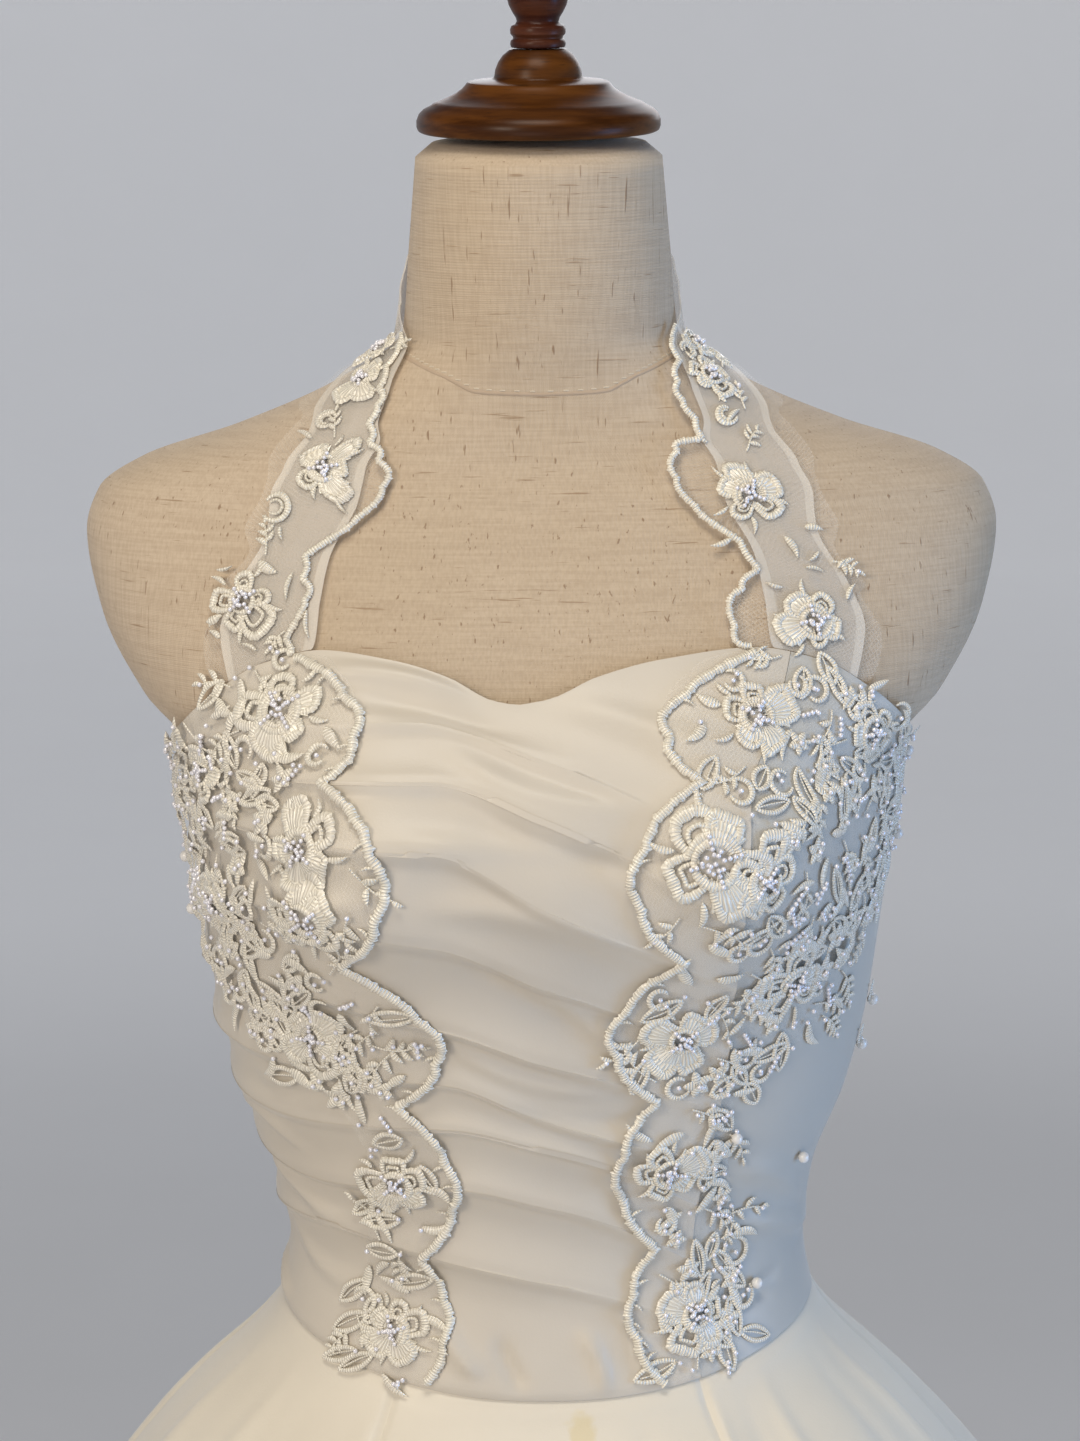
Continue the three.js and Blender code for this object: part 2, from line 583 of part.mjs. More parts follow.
// The skirt is cut in seven gores. Their seams carry on from those of the bodice.
const gores = table(
  ["name", "from", "to", "columns"],
  [
    ["skirt_front", -30, 30, 12],
    ["skirt_side_front_right", 30, 92, 12],
    ["skirt_side_back_right", 92, 138, 9],
    ["skirt_back_right", 138, 180, 8],
    ["skirt_back_left", 180, 222, 8],
    ["skirt_side_back_left", 222, 262, 8],
    ["skirt_side_front_left", 262, 330, 13],
  ],
);
const skirtShares = [0, 0.012, 0.03, 0.055, 0.09, 0.15, 0.24, 0.37, 0.56, 0.78, 1];

function skirt() {
  for (const gore of gores) {
    const angles = steps(gore.from + seamAngle / 2, gore.to - seamAngle / 2, gore.columns);
    const grid = (inward) => skirtShares.map((s) => angles.map((a) => skirtPoint(a, s, inward)));
    add(gore.name, wallGeometry(grid(0), grid(skirtWall)), materials.satin);
  }
}

formTorso();
neckCap();
stand();
bodice();
backClosing();
laceApplique("lace_left", laceSides.left);
laceApplique("lace_right", laceSides.right);
straps();
neckBand();
skirt();

export default part;
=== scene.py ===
# A halter wedding dress on a limbless linen dress form: the cloth, the beaded lace, the form and its stand.
# Metres and degrees. Angles run round the body: 0 is the middle of the front at -Y, 90 the side at +X, 180 the back.
import math
import random

import bpy
import numpy as np
from mathutils import Matrix, Vector


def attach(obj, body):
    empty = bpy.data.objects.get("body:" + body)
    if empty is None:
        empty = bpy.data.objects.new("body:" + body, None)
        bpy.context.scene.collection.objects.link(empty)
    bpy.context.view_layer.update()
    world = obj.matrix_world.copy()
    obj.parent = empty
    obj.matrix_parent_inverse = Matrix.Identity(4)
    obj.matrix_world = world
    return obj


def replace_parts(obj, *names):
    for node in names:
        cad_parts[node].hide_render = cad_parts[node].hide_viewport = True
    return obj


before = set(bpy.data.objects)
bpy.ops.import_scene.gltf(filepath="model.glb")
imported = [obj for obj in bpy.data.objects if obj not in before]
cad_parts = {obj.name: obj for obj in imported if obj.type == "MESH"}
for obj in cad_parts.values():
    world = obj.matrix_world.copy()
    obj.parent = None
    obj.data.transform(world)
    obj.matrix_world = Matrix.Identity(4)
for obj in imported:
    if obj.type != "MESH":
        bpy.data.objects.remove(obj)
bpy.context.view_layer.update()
print("frame loaded")


# Numbers and curves

def table(columns, rows):
    return {name: np.array([row[i] for row in rows], float) for i, name in enumerate(columns)}


def mix(a, b, t):
    return a + (b - a) * t


def smooth(x):
    x = np.clip(x, 0, 1)
    return x * x * (3 - 2 * x)


def bell(x, spread):
    return np.exp(-(x / spread) ** 2)


def curveThrough(rows, key, column):  # a smooth curve through one column, with no overshoot
    at, values = rows[key], rows[column]
    slopes = np.diff(values) / np.diff(at)
    before, after = slopes[:-1], slopes[1:]
    steady = before * after > 0
    total = np.where(steady, before + after, 1)
    inner = np.where(steady, 2 * before * after / total, 0)
    tangents = np.concatenate([slopes[:1], inner, slopes[-1:]])

    def value(x):
        x = np.clip(x, at[0], at[-1])
        i = np.clip(np.searchsorted(at, x, side="right") - 1, 0, len(at) - 2)
        span = at[i + 1] - at[i]
        t = (x - at[i]) / span
        start = values[i] * (2 * t ** 3 - 3 * t ** 2 + 1) + span * tangents[i] * (t ** 3 - 2 * t ** 2 + t)
        end = values[i + 1] * (3 * t ** 2 - 2 * t ** 3) + span * tangents[i + 1] * (t ** 3 - t ** 2)
        return start + end

    return value


def ripple(x, y, seed, scale=1.0):  # a slow, uneven wave between -1 and 1, the same on each run
    rng = random.Random(seed)
    total = 0
    for _ in range(5):
        a, b, phase = rng.uniform(0.4, 1.6), rng.uniform(0.4, 1.6), rng.uniform(0, 6.28)
        total = total + np.sin(scale * (a * x + b * y) + phase)
    return total / 5


# The body and the cloth on it, from the same sizes as the solids

body = {
    "squareness": 2.2, "neckTop": 1.493, "neckTilt": 3.5, "neckTiltStart": 1.413, "bottom": 0.835,
    "bustHeight": 1.210, "bustSide": 0.078, "bustDepth": 0.026, "bustWide": 0.046, "bustAbove": 0.058,
    "bustBelow": 0.044, "cupExtra": 0.002, "bridge": 0.014, "bridgeWide": 0.040,
}
formSections = table(("height", "half", "front", "back", "middle"), [
    (0.835, 0.148, 0.096, 0.104, 0.004), (0.860, 0.154, 0.100, 0.108, 0.004), (0.930, 0.143, 0.097, 0.100, 0.002),
    (1.000, 0.112, 0.084, 0.083, 0), (1.030, 0.107, 0.081, 0.079, 0), (1.060, 0.1105, 0.084, 0.080, 0),
    (1.100, 0.125, 0.094, 0.087, 0), (1.140, 0.1345, 0.102, 0.094, 0), (1.185, 0.1405, 0.107, 0.099, 0),
    (1.225, 0.1455, 0.108, 0.102, 0), (1.244, 0.148, 0.105, 0.102, 0.001), (1.266, 0.1665, 0.099, 0.101, 0.003),
    (1.300, 0.1835, 0.089, 0.098, 0.007), (1.332, 0.1893, 0.078, 0.090, 0.011),
    (1.349, 0.1838, 0.071, 0.083, 0.012), (1.361, 0.166, 0.066, 0.076, 0.012), (1.374, 0.1266, 0.062, 0.069, 0.011),
    (1.393, 0.0832, 0.058, 0.061, 0.008), (1.413, 0.0565, 0.056, 0.056, 0.003),
    (1.447, 0.0531, 0.0535, 0.0535, -0.004), (1.493, 0.0488, 0.0488, 0.0488, -0.013),
])
section = {name: curveThrough(formSections, "height", name) for name in ("half", "front", "back", "middle")}


def bustDepth(x, height, dressed):
    tall = np.where(height > body["bustHeight"], body["bustAbove"], body["bustBelow"])
    up = bell(height - body["bustHeight"], tall)
    cups = bell(x - body["bustSide"], body["bustWide"]) + bell(x + body["bustSide"], body["bustWide"])
    if not dressed:
        return up * body["bustDepth"] * cups
    return up * ((body["bustDepth"] + body["cupExtra"]) * cups + body["bridge"] * bell(x, body["bridgeWide"]))


def bodySurface(angle, height, dressed):
    angle, height = np.broadcast_arrays(np.asarray(angle, float), np.asarray(height, float))
    s, c = np.sin(np.radians(angle)), np.cos(np.radians(angle))
    power = 2 / body["squareness"]
    x = section["half"](height) * np.sign(s) * np.abs(s) ** power
    middle = section["middle"](height)
    deep = np.where(c > 0, section["front"](height), section["back"](height))
    y = middle - deep * np.sign(c) * np.abs(c) ** power - bustDepth(x, height, dressed) * np.clip(3 * c, 0, 1)
    rise = (height - body["neckTiltStart"]) / (body["neckTop"] - body["neckTiltStart"])
    lean = smooth(rise) * math.tan(math.radians(body["neckTilt"]))
    return np.stack([x, y, height + (y - middle) * lean], -1)


def raised(angle, height, out, dressed):  # a place on the body, moved out along its surface's own normal
    along = bodySurface(angle + 0.5, height, dressed) - bodySurface(angle - 0.5, height, dressed)
    upward = bodySurface(angle, height + 0.001, dressed) - bodySurface(angle, height - 0.001, dressed)
    normal = np.cross(along, upward)
    normal /= np.linalg.norm(normal, axis=-1, keepdims=True)
    return bodySurface(angle, height, dressed) + normal * np.asarray(out)[..., None]


def onCloth(angle, height, out):
    return raised(angle, height, out, True)


def onForm(angle, height, out):
    return raised(angle, height, out, False)


cloth = {
    "gap": 0.0015, "wall": 0.0015, "seamAngle": 0.25, "leftSeam": -98.0, "rightSeam": 92.0, "princess": 30.0,
    "princessGap": 0.35, "seamTurn": 0.12, "waistSide": 1.004, "waistDip": 0.020, "dipShift": 2.6, "dipSpread": 24.0,
}
bodiceOut = cloth["gap"] + cloth["wall"]
necklineRows = table(("angle", "height"), [
    (0, 1.274), (3, 1.276), (8, 1.284), (15, 1.290), (25, 1.2935), (35, 1.288),
    (46, 1.276), (60, 1.262), (90, 1.246), (120, 1.237), (150, 1.226), (180, 1.218),
])
necklineCurve = curveThrough(necklineRows, "angle", "height")


def folded(angle):  # the same place as an angle between -180 and 180
    return (np.asarray(angle, float) + 180) % 360 - 180


def neckline(angle):
    angle = folded(angle)
    return necklineCurve(np.abs(angle + cloth["dipShift"] * bell(angle, cloth["dipSpread"])))


def waistSeam(angle):
    return cloth["waistSide"] - cloth["waistDip"] * np.maximum(0, np.cos(np.radians(angle))) ** 2


# Materials

class Link:  # a node's output that can be used in sums
    def __init__(self, finish, socket):
        self.finish = finish
        self.socket = socket

    def sum(self, operation, left, right):
        flat = self.socket.type not in {"VECTOR", "RGBA"}
        kind = "ShaderNodeMath" if flat else "ShaderNodeVectorMath"
        values = [left, right]
        if not flat:
            values = [(v, v, v) if isinstance(v, (int, float)) else v for v in values]
        return self.finish.node(kind, {"operation": operation}, {0: values[0], 1: values[1]})

    def __add__(self, other):
        return self.sum("ADD", self, other)

    def __radd__(self, other):
        return self.sum("ADD", other, self)

    def __sub__(self, other):
        return self.sum("SUBTRACT", self, other)

    def __rsub__(self, other):
        return self.sum("SUBTRACT", other, self)

    def __mul__(self, other):
        return self.sum("MULTIPLY", self, other)

class Finish:  # a material with its shader, built up by node()
    def __init__(self, name, constants):
        self.material = bpy.data.materials.new(name)
        self.material.use_nodes = True
        self.nodes = self.material.node_tree.nodes
        self.links = self.material.node_tree.links
        self.shader = self.nodes["Principled BSDF"]
        for socket, value in constants.items():
            self.shader.inputs[socket].default_value = value

    def put(self, socket, value):
        if isinstance(value, Link):
            self.links.new(value.socket, socket)
        else:
            socket.default_value = value

    def node(self, kind, settings=None, values=None, output=0):
        made = self.nodes.new(kind)
        for name, value in (settings or {}).items():
            if name == "stops":
                for element, (at, color) in zip(made.color_ramp.elements, value):
                    element.position = at
                    element.color = color
            else:
                setattr(made, name, value)
        for name, value in (values or {}).items():
            self.put(made.inputs[name], value)
        return Link(self, made.outputs[output])

    def place(self, scale=(1, 1, 1), flat=False):
        source = self.node("ShaderNodeTexCoord", output="UV" if flat else "Object")
        return self.node("ShaderNodeMapping", {}, {"Vector": source, "Scale": scale})

    def noise(self, where, scale, detail=3.0, roughness=0.5):
        return self.node("ShaderNodeTexNoise", {}, {
            "Vector": where, "Scale": scale, "Detail": detail, "Roughness": roughness})

    def wave(self, where, scale, distortion=0.0, direction="X"):
        return self.node("ShaderNodeTexWave", {"bands_direction": direction}, {
            "Vector": where, "Scale": scale, "Distortion": distortion, "Detail Scale": 2.0})

    def ramp(self, value, low, high):  # 0 below low, 1 above high
        return self.node("ShaderNodeMapRange", {"interpolation_type": "SMOOTHSTEP"}, {
            "Value": value, "From Min": low, "From Max": high})

    def blend(self, factor, first, second):
        return self.node("ShaderNodeMix", {"data_type": "RGBA"}, {
            "Factor": factor, 6: first, 7: second}, output=2)

    def bump(self, height, strength, distance):
        return self.node("ShaderNodeBump", {}, {
            "Strength": strength, "Distance": distance, "Height": height})

    def around(self, mark):  # how far each place is from a mark's middle, in its own spreads
        return self.node("ShaderNodeMapping", {"vector_type": "TEXTURE"}, {
            "Vector": self.place(), "Location": mark["at"], "Scale": mark["spread"]})

    def length(self, vector):
        return self.node("ShaderNodeVectorMath", {"operation": "LENGTH"}, {0: vector}, output=1)

    def set(self, **sockets):
        for name, value in sockets.items():
            self.put(self.shader.inputs[name.replace("_", " ")], value)
        return self.material


def satinFinish(name, light, shade, stains=()):
    finish = Finish(name, {"Sheen Weight": 0.25, "Sheen Roughness": 0.35, "Specular IOR Level": 0.42})
    where = finish.place()
    cloudy = finish.noise(where, 9.0, 3.0)
    fine = finish.noise(where, 900.0, 2.0)
    color = finish.blend(finish.ramp(cloudy, 0.35, 0.7), light, shade)
    for stain in stains:  # an old mark: its middle, how far it spreads each way, its color and strength
        ragged = finish.around(stain) + (finish.node("ShaderNodeTexNoise", {}, {
            "Vector": where, "Scale": stain["ragged"], "Detail": 3.0}, output=1) - 0.5) * 1.4
        mask = (1 - finish.ramp(finish.length(ragged), 0.55, 1.15)) * stain["strength"]
        color = finish.blend(mask, color, stain["color"])
    crinkle = finish.noise(finish.place((1, 1, 0.6)), 55.0, 3.0, 0.45)
    height = crinkle * 0.7 + fine * 0.16
    return finish.set(Base_Color=color, Roughness=0.36 + cloudy * 0.14, Normal=finish.bump(height, 0.22, 0.0012))


def threadFinish(marks):
    finish = Finish("embroideryThread", {
        "Sheen Weight": 0.45, "Sheen Roughness": 0.3, "Specular IOR Level": 0.95, "Coat Roughness": 0.2,
        "Coat Weight": 0.5})
    across = finish.place(flat=True)
    ribs = finish.wave(across, 1.0, 0.6, "Y")
    fibres = finish.noise(finish.place((0.05, 1, 1), flat=True), 9.0, 1.0)
    patch = finish.noise(finish.place(), 60.0, 2.0)
    light = finish.blend(finish.ramp(patch, 0.3, 0.75), (0.985, 0.93, 0.775, 1), (0.94, 0.88, 0.745, 1))
    for mark in marks:
        far = finish.length(finish.around(mark))
        light = finish.blend((1 - finish.ramp(far, 0.5, 1.1)) * mark["strength"], light, mark["color"])
    # painted shade: the thread is darkened in the grooves between its ribs and between its fibres
    gapShade = (1 - ribs) * 0.46 + finish.ramp(fibres, 0.5, 0.75) * 0.26
    color = finish.blend(gapShade, light, (0.52, 0.44, 0.33, 1))
    return finish.set(
        Base_Color=color, Roughness=0.2 + ribs * 0.12, Normal=finish.bump(ribs + fibres * 1.4, 0.75, 0.0005))


def netFinish(name, color, openness, pitch):
    finish = Finish(name, {"Roughness": 0.5, "Sheen Weight": 0.3, "Specular IOR Level": 0.45})
    bands = 1 / pitch / 20  # a wave texture has 20 bands in each unit at scale 1
    slants = {}
    for side, degrees in enumerate((32, -32)):  # the net's threads cross at this slant
        slant = finish.node("ShaderNodeMapping", {}, {
            "Vector": finish.place(flat=True), "Rotation": (0, 0, math.radians(degrees))})
        slants[side] = finish.wave(slant, bands * 6.283, 0.4)
    mesh = finish.node("ShaderNodeMath", {"operation": "MAXIMUM"}, slants)
    threads = finish.ramp(mesh, 0.72, 0.95)
    return finish.set(Base_Color=color, Alpha=threads * (1 - openness) + (1 - openness) * 0.35)


def organzaFinish(strap):
    finish = Finish("strapOrganza", {"Roughness": 0.42, "Sheen Weight": 0.5, "Specular IOR Level": 0.5})
    across = finish.node("ShaderNodeSeparateXYZ", {}, {0: finish.place(flat=True)})
    middle = finish.node("ShaderNodeMath", {"operation": "ABSOLUTE"}, {0: across - 0.5})
    hem = finish.ramp(middle, 0.5 - strap["foldShare"], 0.5 - strap["foldShare"] * 0.8)
    weave = finish.noise(finish.place(flat=True), 60.0, 2.0)
    color = finish.blend(hem, (0.80, 0.74, 0.64, 1), (0.84, 0.78, 0.68, 1))
    alpha = 0.22 + hem * 0.18 + weave * 0.16
    return finish.set(Base_Color=color, Alpha=alpha, Normal=finish.bump(weave, 0.2, 0.0004))


def linenFinish():
    finish = Finish("formLinen", {"Sheen Weight": 0.15, "Specular IOR Level": 0.25})
    upright = finish.noise(finish.place((1, 1, 0.03)), 900.0, 2.0)
    level = finish.noise(finish.place((0.04, 0.04, 1)), 900.0, 2.0)
    weave = finish.wave(finish.place(flat=True), 300.0, 1.5, "X") + finish.wave(
        finish.place(flat=True), 300.0, 1.5, "Y")
    slubsUp = finish.ramp(finish.noise(finish.place((1, 1, 0.05)), 620.0, 2.0, 0.55), 0.655, 0.74)
    slubsLevel = finish.ramp(finish.noise(finish.place((0.06, 0.06, 1)), 760.0, 2.0, 0.55), 0.665, 0.75)
    cloudy = finish.noise(finish.place(), 7.0, 3.0)
    color = finish.blend(finish.ramp(cloudy, 0.3, 0.75), (0.535, 0.425, 0.298, 1), (0.59, 0.478, 0.352, 1))
    streaks = finish.ramp(upright, 0.36, 0.64) * 0.21 + finish.ramp(level, 0.36, 0.64) * 0.21
    color = finish.blend(streaks, color, (0.37, 0.27, 0.18, 1))
    color = finish.blend(slubsUp * 0.75, color, (0.24, 0.15, 0.085, 1))
    color = finish.blend(slubsLevel * 0.65, color, (0.28, 0.18, 0.10, 1))
    height = weave * 0.35 + upright + level + slubsUp * 1.2 + slubsLevel
    return finish.set(Base_Color=color, Roughness=0.86 + cloudy * 0.08, Normal=finish.bump(height, 0.3, 0.0006))


def woodFinish(name, dark, light):
    finish = Finish(name, {"Coat Weight": 0.03, "Coat Roughness": 0.2, "Specular IOR Level": 0.12})
    grain = finish.noise(finish.place((3, 14, 60)), 3.0, 5.0, 0.62)
    pores = finish.noise(finish.place((20, 20, 260)), 4.0, 3.0, 0.6)
    color = finish.blend(finish.ramp(grain, 0.34, 0.68), dark, light)
    color = finish.blend(finish.ramp(pores, 0.6, 0.72) * 0.5, color, (0.012, 0.006, 0.003, 1))
    return finish.set(
        Base_Color=color, Roughness=0.27 + grain * 0.14, Normal=finish.bump(grain + pores, 0.06, 0.0006))


def plainFinish(name, color, constants):
    finish = Finish(name, constants)
    tint = finish.noise(finish.place(), 260.0, 1.0)
    shade = tuple(0.88 * c for c in color[:3]) + (1,)
    return finish.set(Base_Color=finish.blend(tint, color, shade))


print("materials ready")


# Mesh helpers

weldReach = 0.00002


def selectOnly(piece):
    bpy.ops.object.select_all(action="DESELECT")
    piece.select_set(True)
    bpy.context.view_layer.objects.active = piece


def applyModifier(piece, kind, **settings):
    selectOnly(piece)
    modifier = piece.modifiers.new(kind.lower(), kind)
    for name, value in settings.items():
        setattr(modifier, name, value)
    bpy.ops.object.modifier_apply(modifier=modifier.name)


def gridArea(points, columns, rows):
    grid = points.reshape(rows, columns, 3)
    a, b = grid[1:, 1:] - grid[:-1, :-1], grid[1:, :-1] - grid[:-1, 1:]
    return float(np.linalg.norm(np.cross(a, b), axis=-1).sum() / 2)


def newPiece(name, operator, **settings):
    bpy.ops.object.select_all(action="DESELECT")
    operator(**settings)
    piece = bpy.context.object
    piece.name = piece.data.name = name
    return piece


def linked(name, data):
    made = bpy.data.objects.new(name, data)
    bpy.context.collection.objects.link(made)
    return made


def cornersOf(mesh):
    corners = np.empty(len(mesh.vertices) * 3)
    mesh.vertices.foreach_get("co", corners)
    return corners.reshape(-1, 3)


def movedGrid(name, columns, rows, place):  # place gets each point's share across and up
    piece = newPiece(
        name, bpy.ops.mesh.primitive_grid_add, x_subdivisions=columns - 1, y_subdivisions=rows - 1, size=1)
    flat = cornersOf(piece.data)
    points = place(flat[:, 0] + 0.5, flat[:, 1] + 0.5)
    piece.data.vertices.foreach_set("co", points.astype(np.float32).ravel())
    return piece, points


def gridPiece(name, columns, rows, place, finish, thickness=0.0, uvSize=(1, 1)):
    piece, points = movedGrid(name, columns, rows, place)
    mesh = piece.data
    uv = np.empty(len(mesh.loops) * 2)
    mesh.uv_layers.active.data.foreach_get("uv", uv)
    uv = (uv.reshape(-1, 2) * np.array(uvSize)).ravel()
    mesh.uv_layers.active.data.foreach_set("uv", uv)
    mesh.update()
    gridArea(points, columns, rows)
    if thickness:
        applyModifier(piece, "SOLIDIFY", thickness=thickness, offset=-1)
    finishPiece(piece, finish)
    return piece


def finishPiece(piece, finish, angle=80):
    selectOnly(piece)
    bpy.ops.object.shade_smooth_by_angle(angle=math.radians(angle))
    piece.data.materials.clear()
    piece.data.materials.append(finish)
    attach(piece, "root")


def faceOutwards(piece, weld=0.0):  # welding joins a grid that closes on itself, and its poles
    selectOnly(piece)
    bpy.ops.object.mode_set(mode="EDIT")
    bpy.ops.mesh.select_all(action="SELECT")
    if weld:
        bpy.ops.mesh.remove_doubles(threshold=weld)
    bpy.ops.mesh.normals_make_consistent(inside=False)
    bpy.ops.object.mode_set(mode="OBJECT")


def turnedPiece(name, profile, finish, steps, soften, seat):
    # a lathe-turned piece: a circle that is extruded and scaled from one row of its profile to the next
    radius, height = profile[0]
    piece = newPiece(
        name, bpy.ops.mesh.primitive_circle_add, vertices=steps, radius=radius, fill_type="NGON",
        location=(0, 0, height))
    bpy.ops.object.transform_apply(location=True, rotation=False, scale=False)
    bpy.ops.object.mode_set(mode="EDIT")
    bpy.ops.mesh.select_all(action="SELECT")
    for nextRadius, nextHeight in profile[1:]:
        bpy.ops.mesh.extrude_region_move(TRANSFORM_OT_translate={"value": (0, 0, nextHeight - height)})
        grow = nextRadius / radius
        bpy.ops.transform.resize(value=(grow, grow, 1), center_override=(0, 0, nextHeight))
        radius, height = nextRadius, nextHeight
    bpy.ops.object.mode_set(mode="OBJECT")
    faceOutwards(piece)
    applyModifier(
        piece, "BEVEL", width=soften, segments=3, limit_method="ANGLE",
        angle_limit=math.radians(stand["softAngle"]))
    if seat is not None:
        piece.data.transform(seat)
    finishPiece(piece, finish, angle=40)
    return piece


# The dress form and its stand

stand = {
    "baseTop": 0.062, "poleRadius": 0.016, "gap": 0.0003, "neckRadius": 0.024, "flangeRadius": 0.044,
    "flangeDrop": 0.008, "neckDrop": 0.0175, "poleEnd": 0.022, "softAngle": 28,
}
capProfile = [
    (0.0470, 0.0000), (0.0484, 0.0006), (0.0490, 0.0024), (0.0490, 0.0046), (0.0480, 0.0072), (0.0462, 0.0090),
    (0.0430, 0.0106), (0.0424, 0.0112), (0.0398, 0.0122), (0.0364, 0.0136), (0.0332, 0.0152), (0.0306, 0.0170),
    (0.0292, 0.0186), (0.0284, 0.0196), (0.0262, 0.0202), (0.0184, 0.0208), (0.0176, 0.0216), (0.0172, 0.0244),
    (0.0160, 0.0274), (0.0142, 0.0300), (0.0118, 0.0320), (0.0112, 0.0326),
]
finialProfile = [
    (0.0096, 0.0330), (0.0108, 0.0332), (0.0111, 0.0344), (0.0109, 0.0358), (0.0099, 0.0366), (0.0100, 0.0374),
    (0.0110, 0.0384), (0.0111, 0.0402), (0.0106, 0.0416), (0.0090, 0.0424), (0.0084, 0.0434), (0.0088, 0.0448),
    (0.0102, 0.0470), (0.0116, 0.0498), (0.0124, 0.0532), (0.0125, 0.0566), (0.0118, 0.0606), (0.0104, 0.0644),
    (0.0084, 0.0678), (0.0060, 0.0704), (0.0034, 0.0721), (0.0010, 0.0729),
]
baseProfile = [
    (0.172, 0.0), (0.178, 0.001), (0.180, 0.006), (0.180, 0.013), (0.178, 0.018), (0.171, 0.0225), (0.168, 0.0235),
    (0.160, 0.0240), (0.110, 0.0265), (0.066, 0.0290), (0.058, 0.0305), (0.050, 0.0335), (0.040, 0.0385),
    (0.034, 0.0430), (0.030, 0.0500), (0.0285, 0.0560), (0.028, 0.0600), (0.0265, 0.0620),
]
seamRun = table(("angle", "height"), [
    (0, 1.3912), (11, 1.3918), (16, 1.3924), (22, 1.3952), (30, 1.3985), (60, 1.405), (100, 1.408), (180, 1.413)])
seamHeight = curveThrough(seamRun, "angle", "height")


def formPlace(u, v):  # rows gather at the shoulders and neck, where the form bends most
    rows = table(("share", "height"), [
        (0, 0.835), (0.06, 0.846), (0.14, 0.90), (0.26, 1.03), (0.42, 1.20), (0.54, 1.29), (0.70, 1.352),
        (0.84, 1.394), (0.92, 1.425), (1, 1.4929)])
    height = curveThrough(rows, "share", "height")(v)
    angle = mix(-180, 180, u)
    rounded = -0.010 * (1 - smooth(v / 0.07)) - 0.0016 * smooth((v - 0.994) / 0.006)
    points = onForm(angle, height, rounded)
    shut = np.clip(v / 0.012, 0, 1)[:, None]  # the lowest rows close the underside
    centre = np.array([0, 0.004, body["bottom"]])
    points = np.where(shut < 1, centre + (points - centre) * shut, points)
    points[:, 2] = np.maximum(points[:, 2], body["bottom"])
    top = np.clip((1 - v) / 0.006, 0, 1)[:, None]
    cap = np.array([0, float(section["middle"](1.493)), body["neckTop"]])
    return np.where(top < 1, cap + (points - cap) * top, points)


def neckSeat():  # the cap leans with the top of the neck
    top = Vector((0, float(section["middle"](body["neckTop"])), body["neckTop"] + stand["gap"]))
    return Matrix.Translation(top) @ Matrix.Rotation(math.radians(body["neckTilt"]), 4, "X")


linen = linenFinish()
darkWood = woodFinish("walnutStain", (0.036, 0.0105, 0.0014, 1), (0.102, 0.034, 0.0055, 1))
# painted shade: the finial's wood is a darker, redder copy of the walnut
shadedFinialWood = woodFinish("shadedFinialWalnut", (0.035, 0.008, 0.004, 1), (0.085, 0.026, 0.011, 1))
torso = gridPiece("formBody", 145, 190, formPlace, linen, uvSize=(0.9, 0.75))
faceOutwards(torso, weldReach)
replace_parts(torso, "form_torso")
poleTop = body["bottom"] - stand["gap"]
poleProfile = [
    (stand["poleRadius"], stand["baseTop"] + stand["gap"]), (stand["poleRadius"], poleTop - stand["poleEnd"]),
    (stand["neckRadius"], poleTop - stand["neckDrop"]), (stand["flangeRadius"], poleTop - stand["flangeDrop"]),
    (stand["flangeRadius"], poleTop)]
for name, node, profile, finish, steps, soften, seat in [
    ("neckCap", "form_neck_cap", capProfile, darkWood, 96, 0.0006, neckSeat()),
    ("neckFinial", "form_finial", finialProfile, shadedFinialWood, 64, 0.0003, neckSeat()),
    ("standBase", "stand_base", baseProfile, darkWood, 128, 0.001, None),
    ("standPole", "stand_pole", poleProfile, darkWood, 48, 0.0006, None),
]:
    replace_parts(turnedPiece(name, profile, finish, steps, soften, seat), node)
neckRidge = plainFinish("seamLinen", (0.48, 0.37, 0.265, 1), {"Roughness": 0.85, "Specular IOR Level": 0.2})
seamThread = plainFinish("seamThread", (0.62, 0.53, 0.40, 1), {"Roughness": 0.7, "Specular IOR Level": 0.3})
print("dress form and stand made")


# The bodice

drape = {
    "columns": 108, "bandRows": 25, "lip": 0.0058, "hollow": 0.019, "overhang": 0.0007, "thickness": 0.0011,
    "crest": 2.3, "fullness": 2.15, "creases": 2.4, "carried": 0.84, "steepFall": 0.55, "gentleFall": 0.45,
    "crestShare": 0.14,  # the part of each fold, next to its line, that counts as its crest
    "degree": 0.00236,  # the length of one degree round the body, about
}
pleatAngles = (-98, -50, -15, 3, 30)
pleatRows = [  # each fold line's height at those angles, and how far the fold stands out
    ((1.228, 1.260, 1.267, 1.250, 1.218), 0.0024),
    ((1.208, 1.246, 1.246, 1.229, 1.196), 0.0028),
    ((1.190, 1.226, 1.222, 1.198, 1.165), 0.0026),
    ((1.170, 1.198, 1.187, 1.165, 1.134), 0.0030),
    ((1.151, 1.163, 1.150, 1.132, 1.109), 0.0030),
    ((1.132, 1.127, 1.125, 1.106, 1.086), 0.0032),
    ((1.108, 1.102, 1.105, 1.094, 1.065), 0.0028),
    ((1.083, 1.074, 1.078, 1.068, 1.040), 0.0030),
    ((1.048, 1.053, 1.042, 1.033, 1.013), 0.0026),
]
pleatLines = [
    (curveThrough(table(("angle", "height"), list(zip(pleatAngles, heights))), "angle", "height"), depth)
    for heights, depth in pleatRows]
drapeLines = [(neckline, 0.0)] + pleatLines + [(waistSeam, 0.0010)]
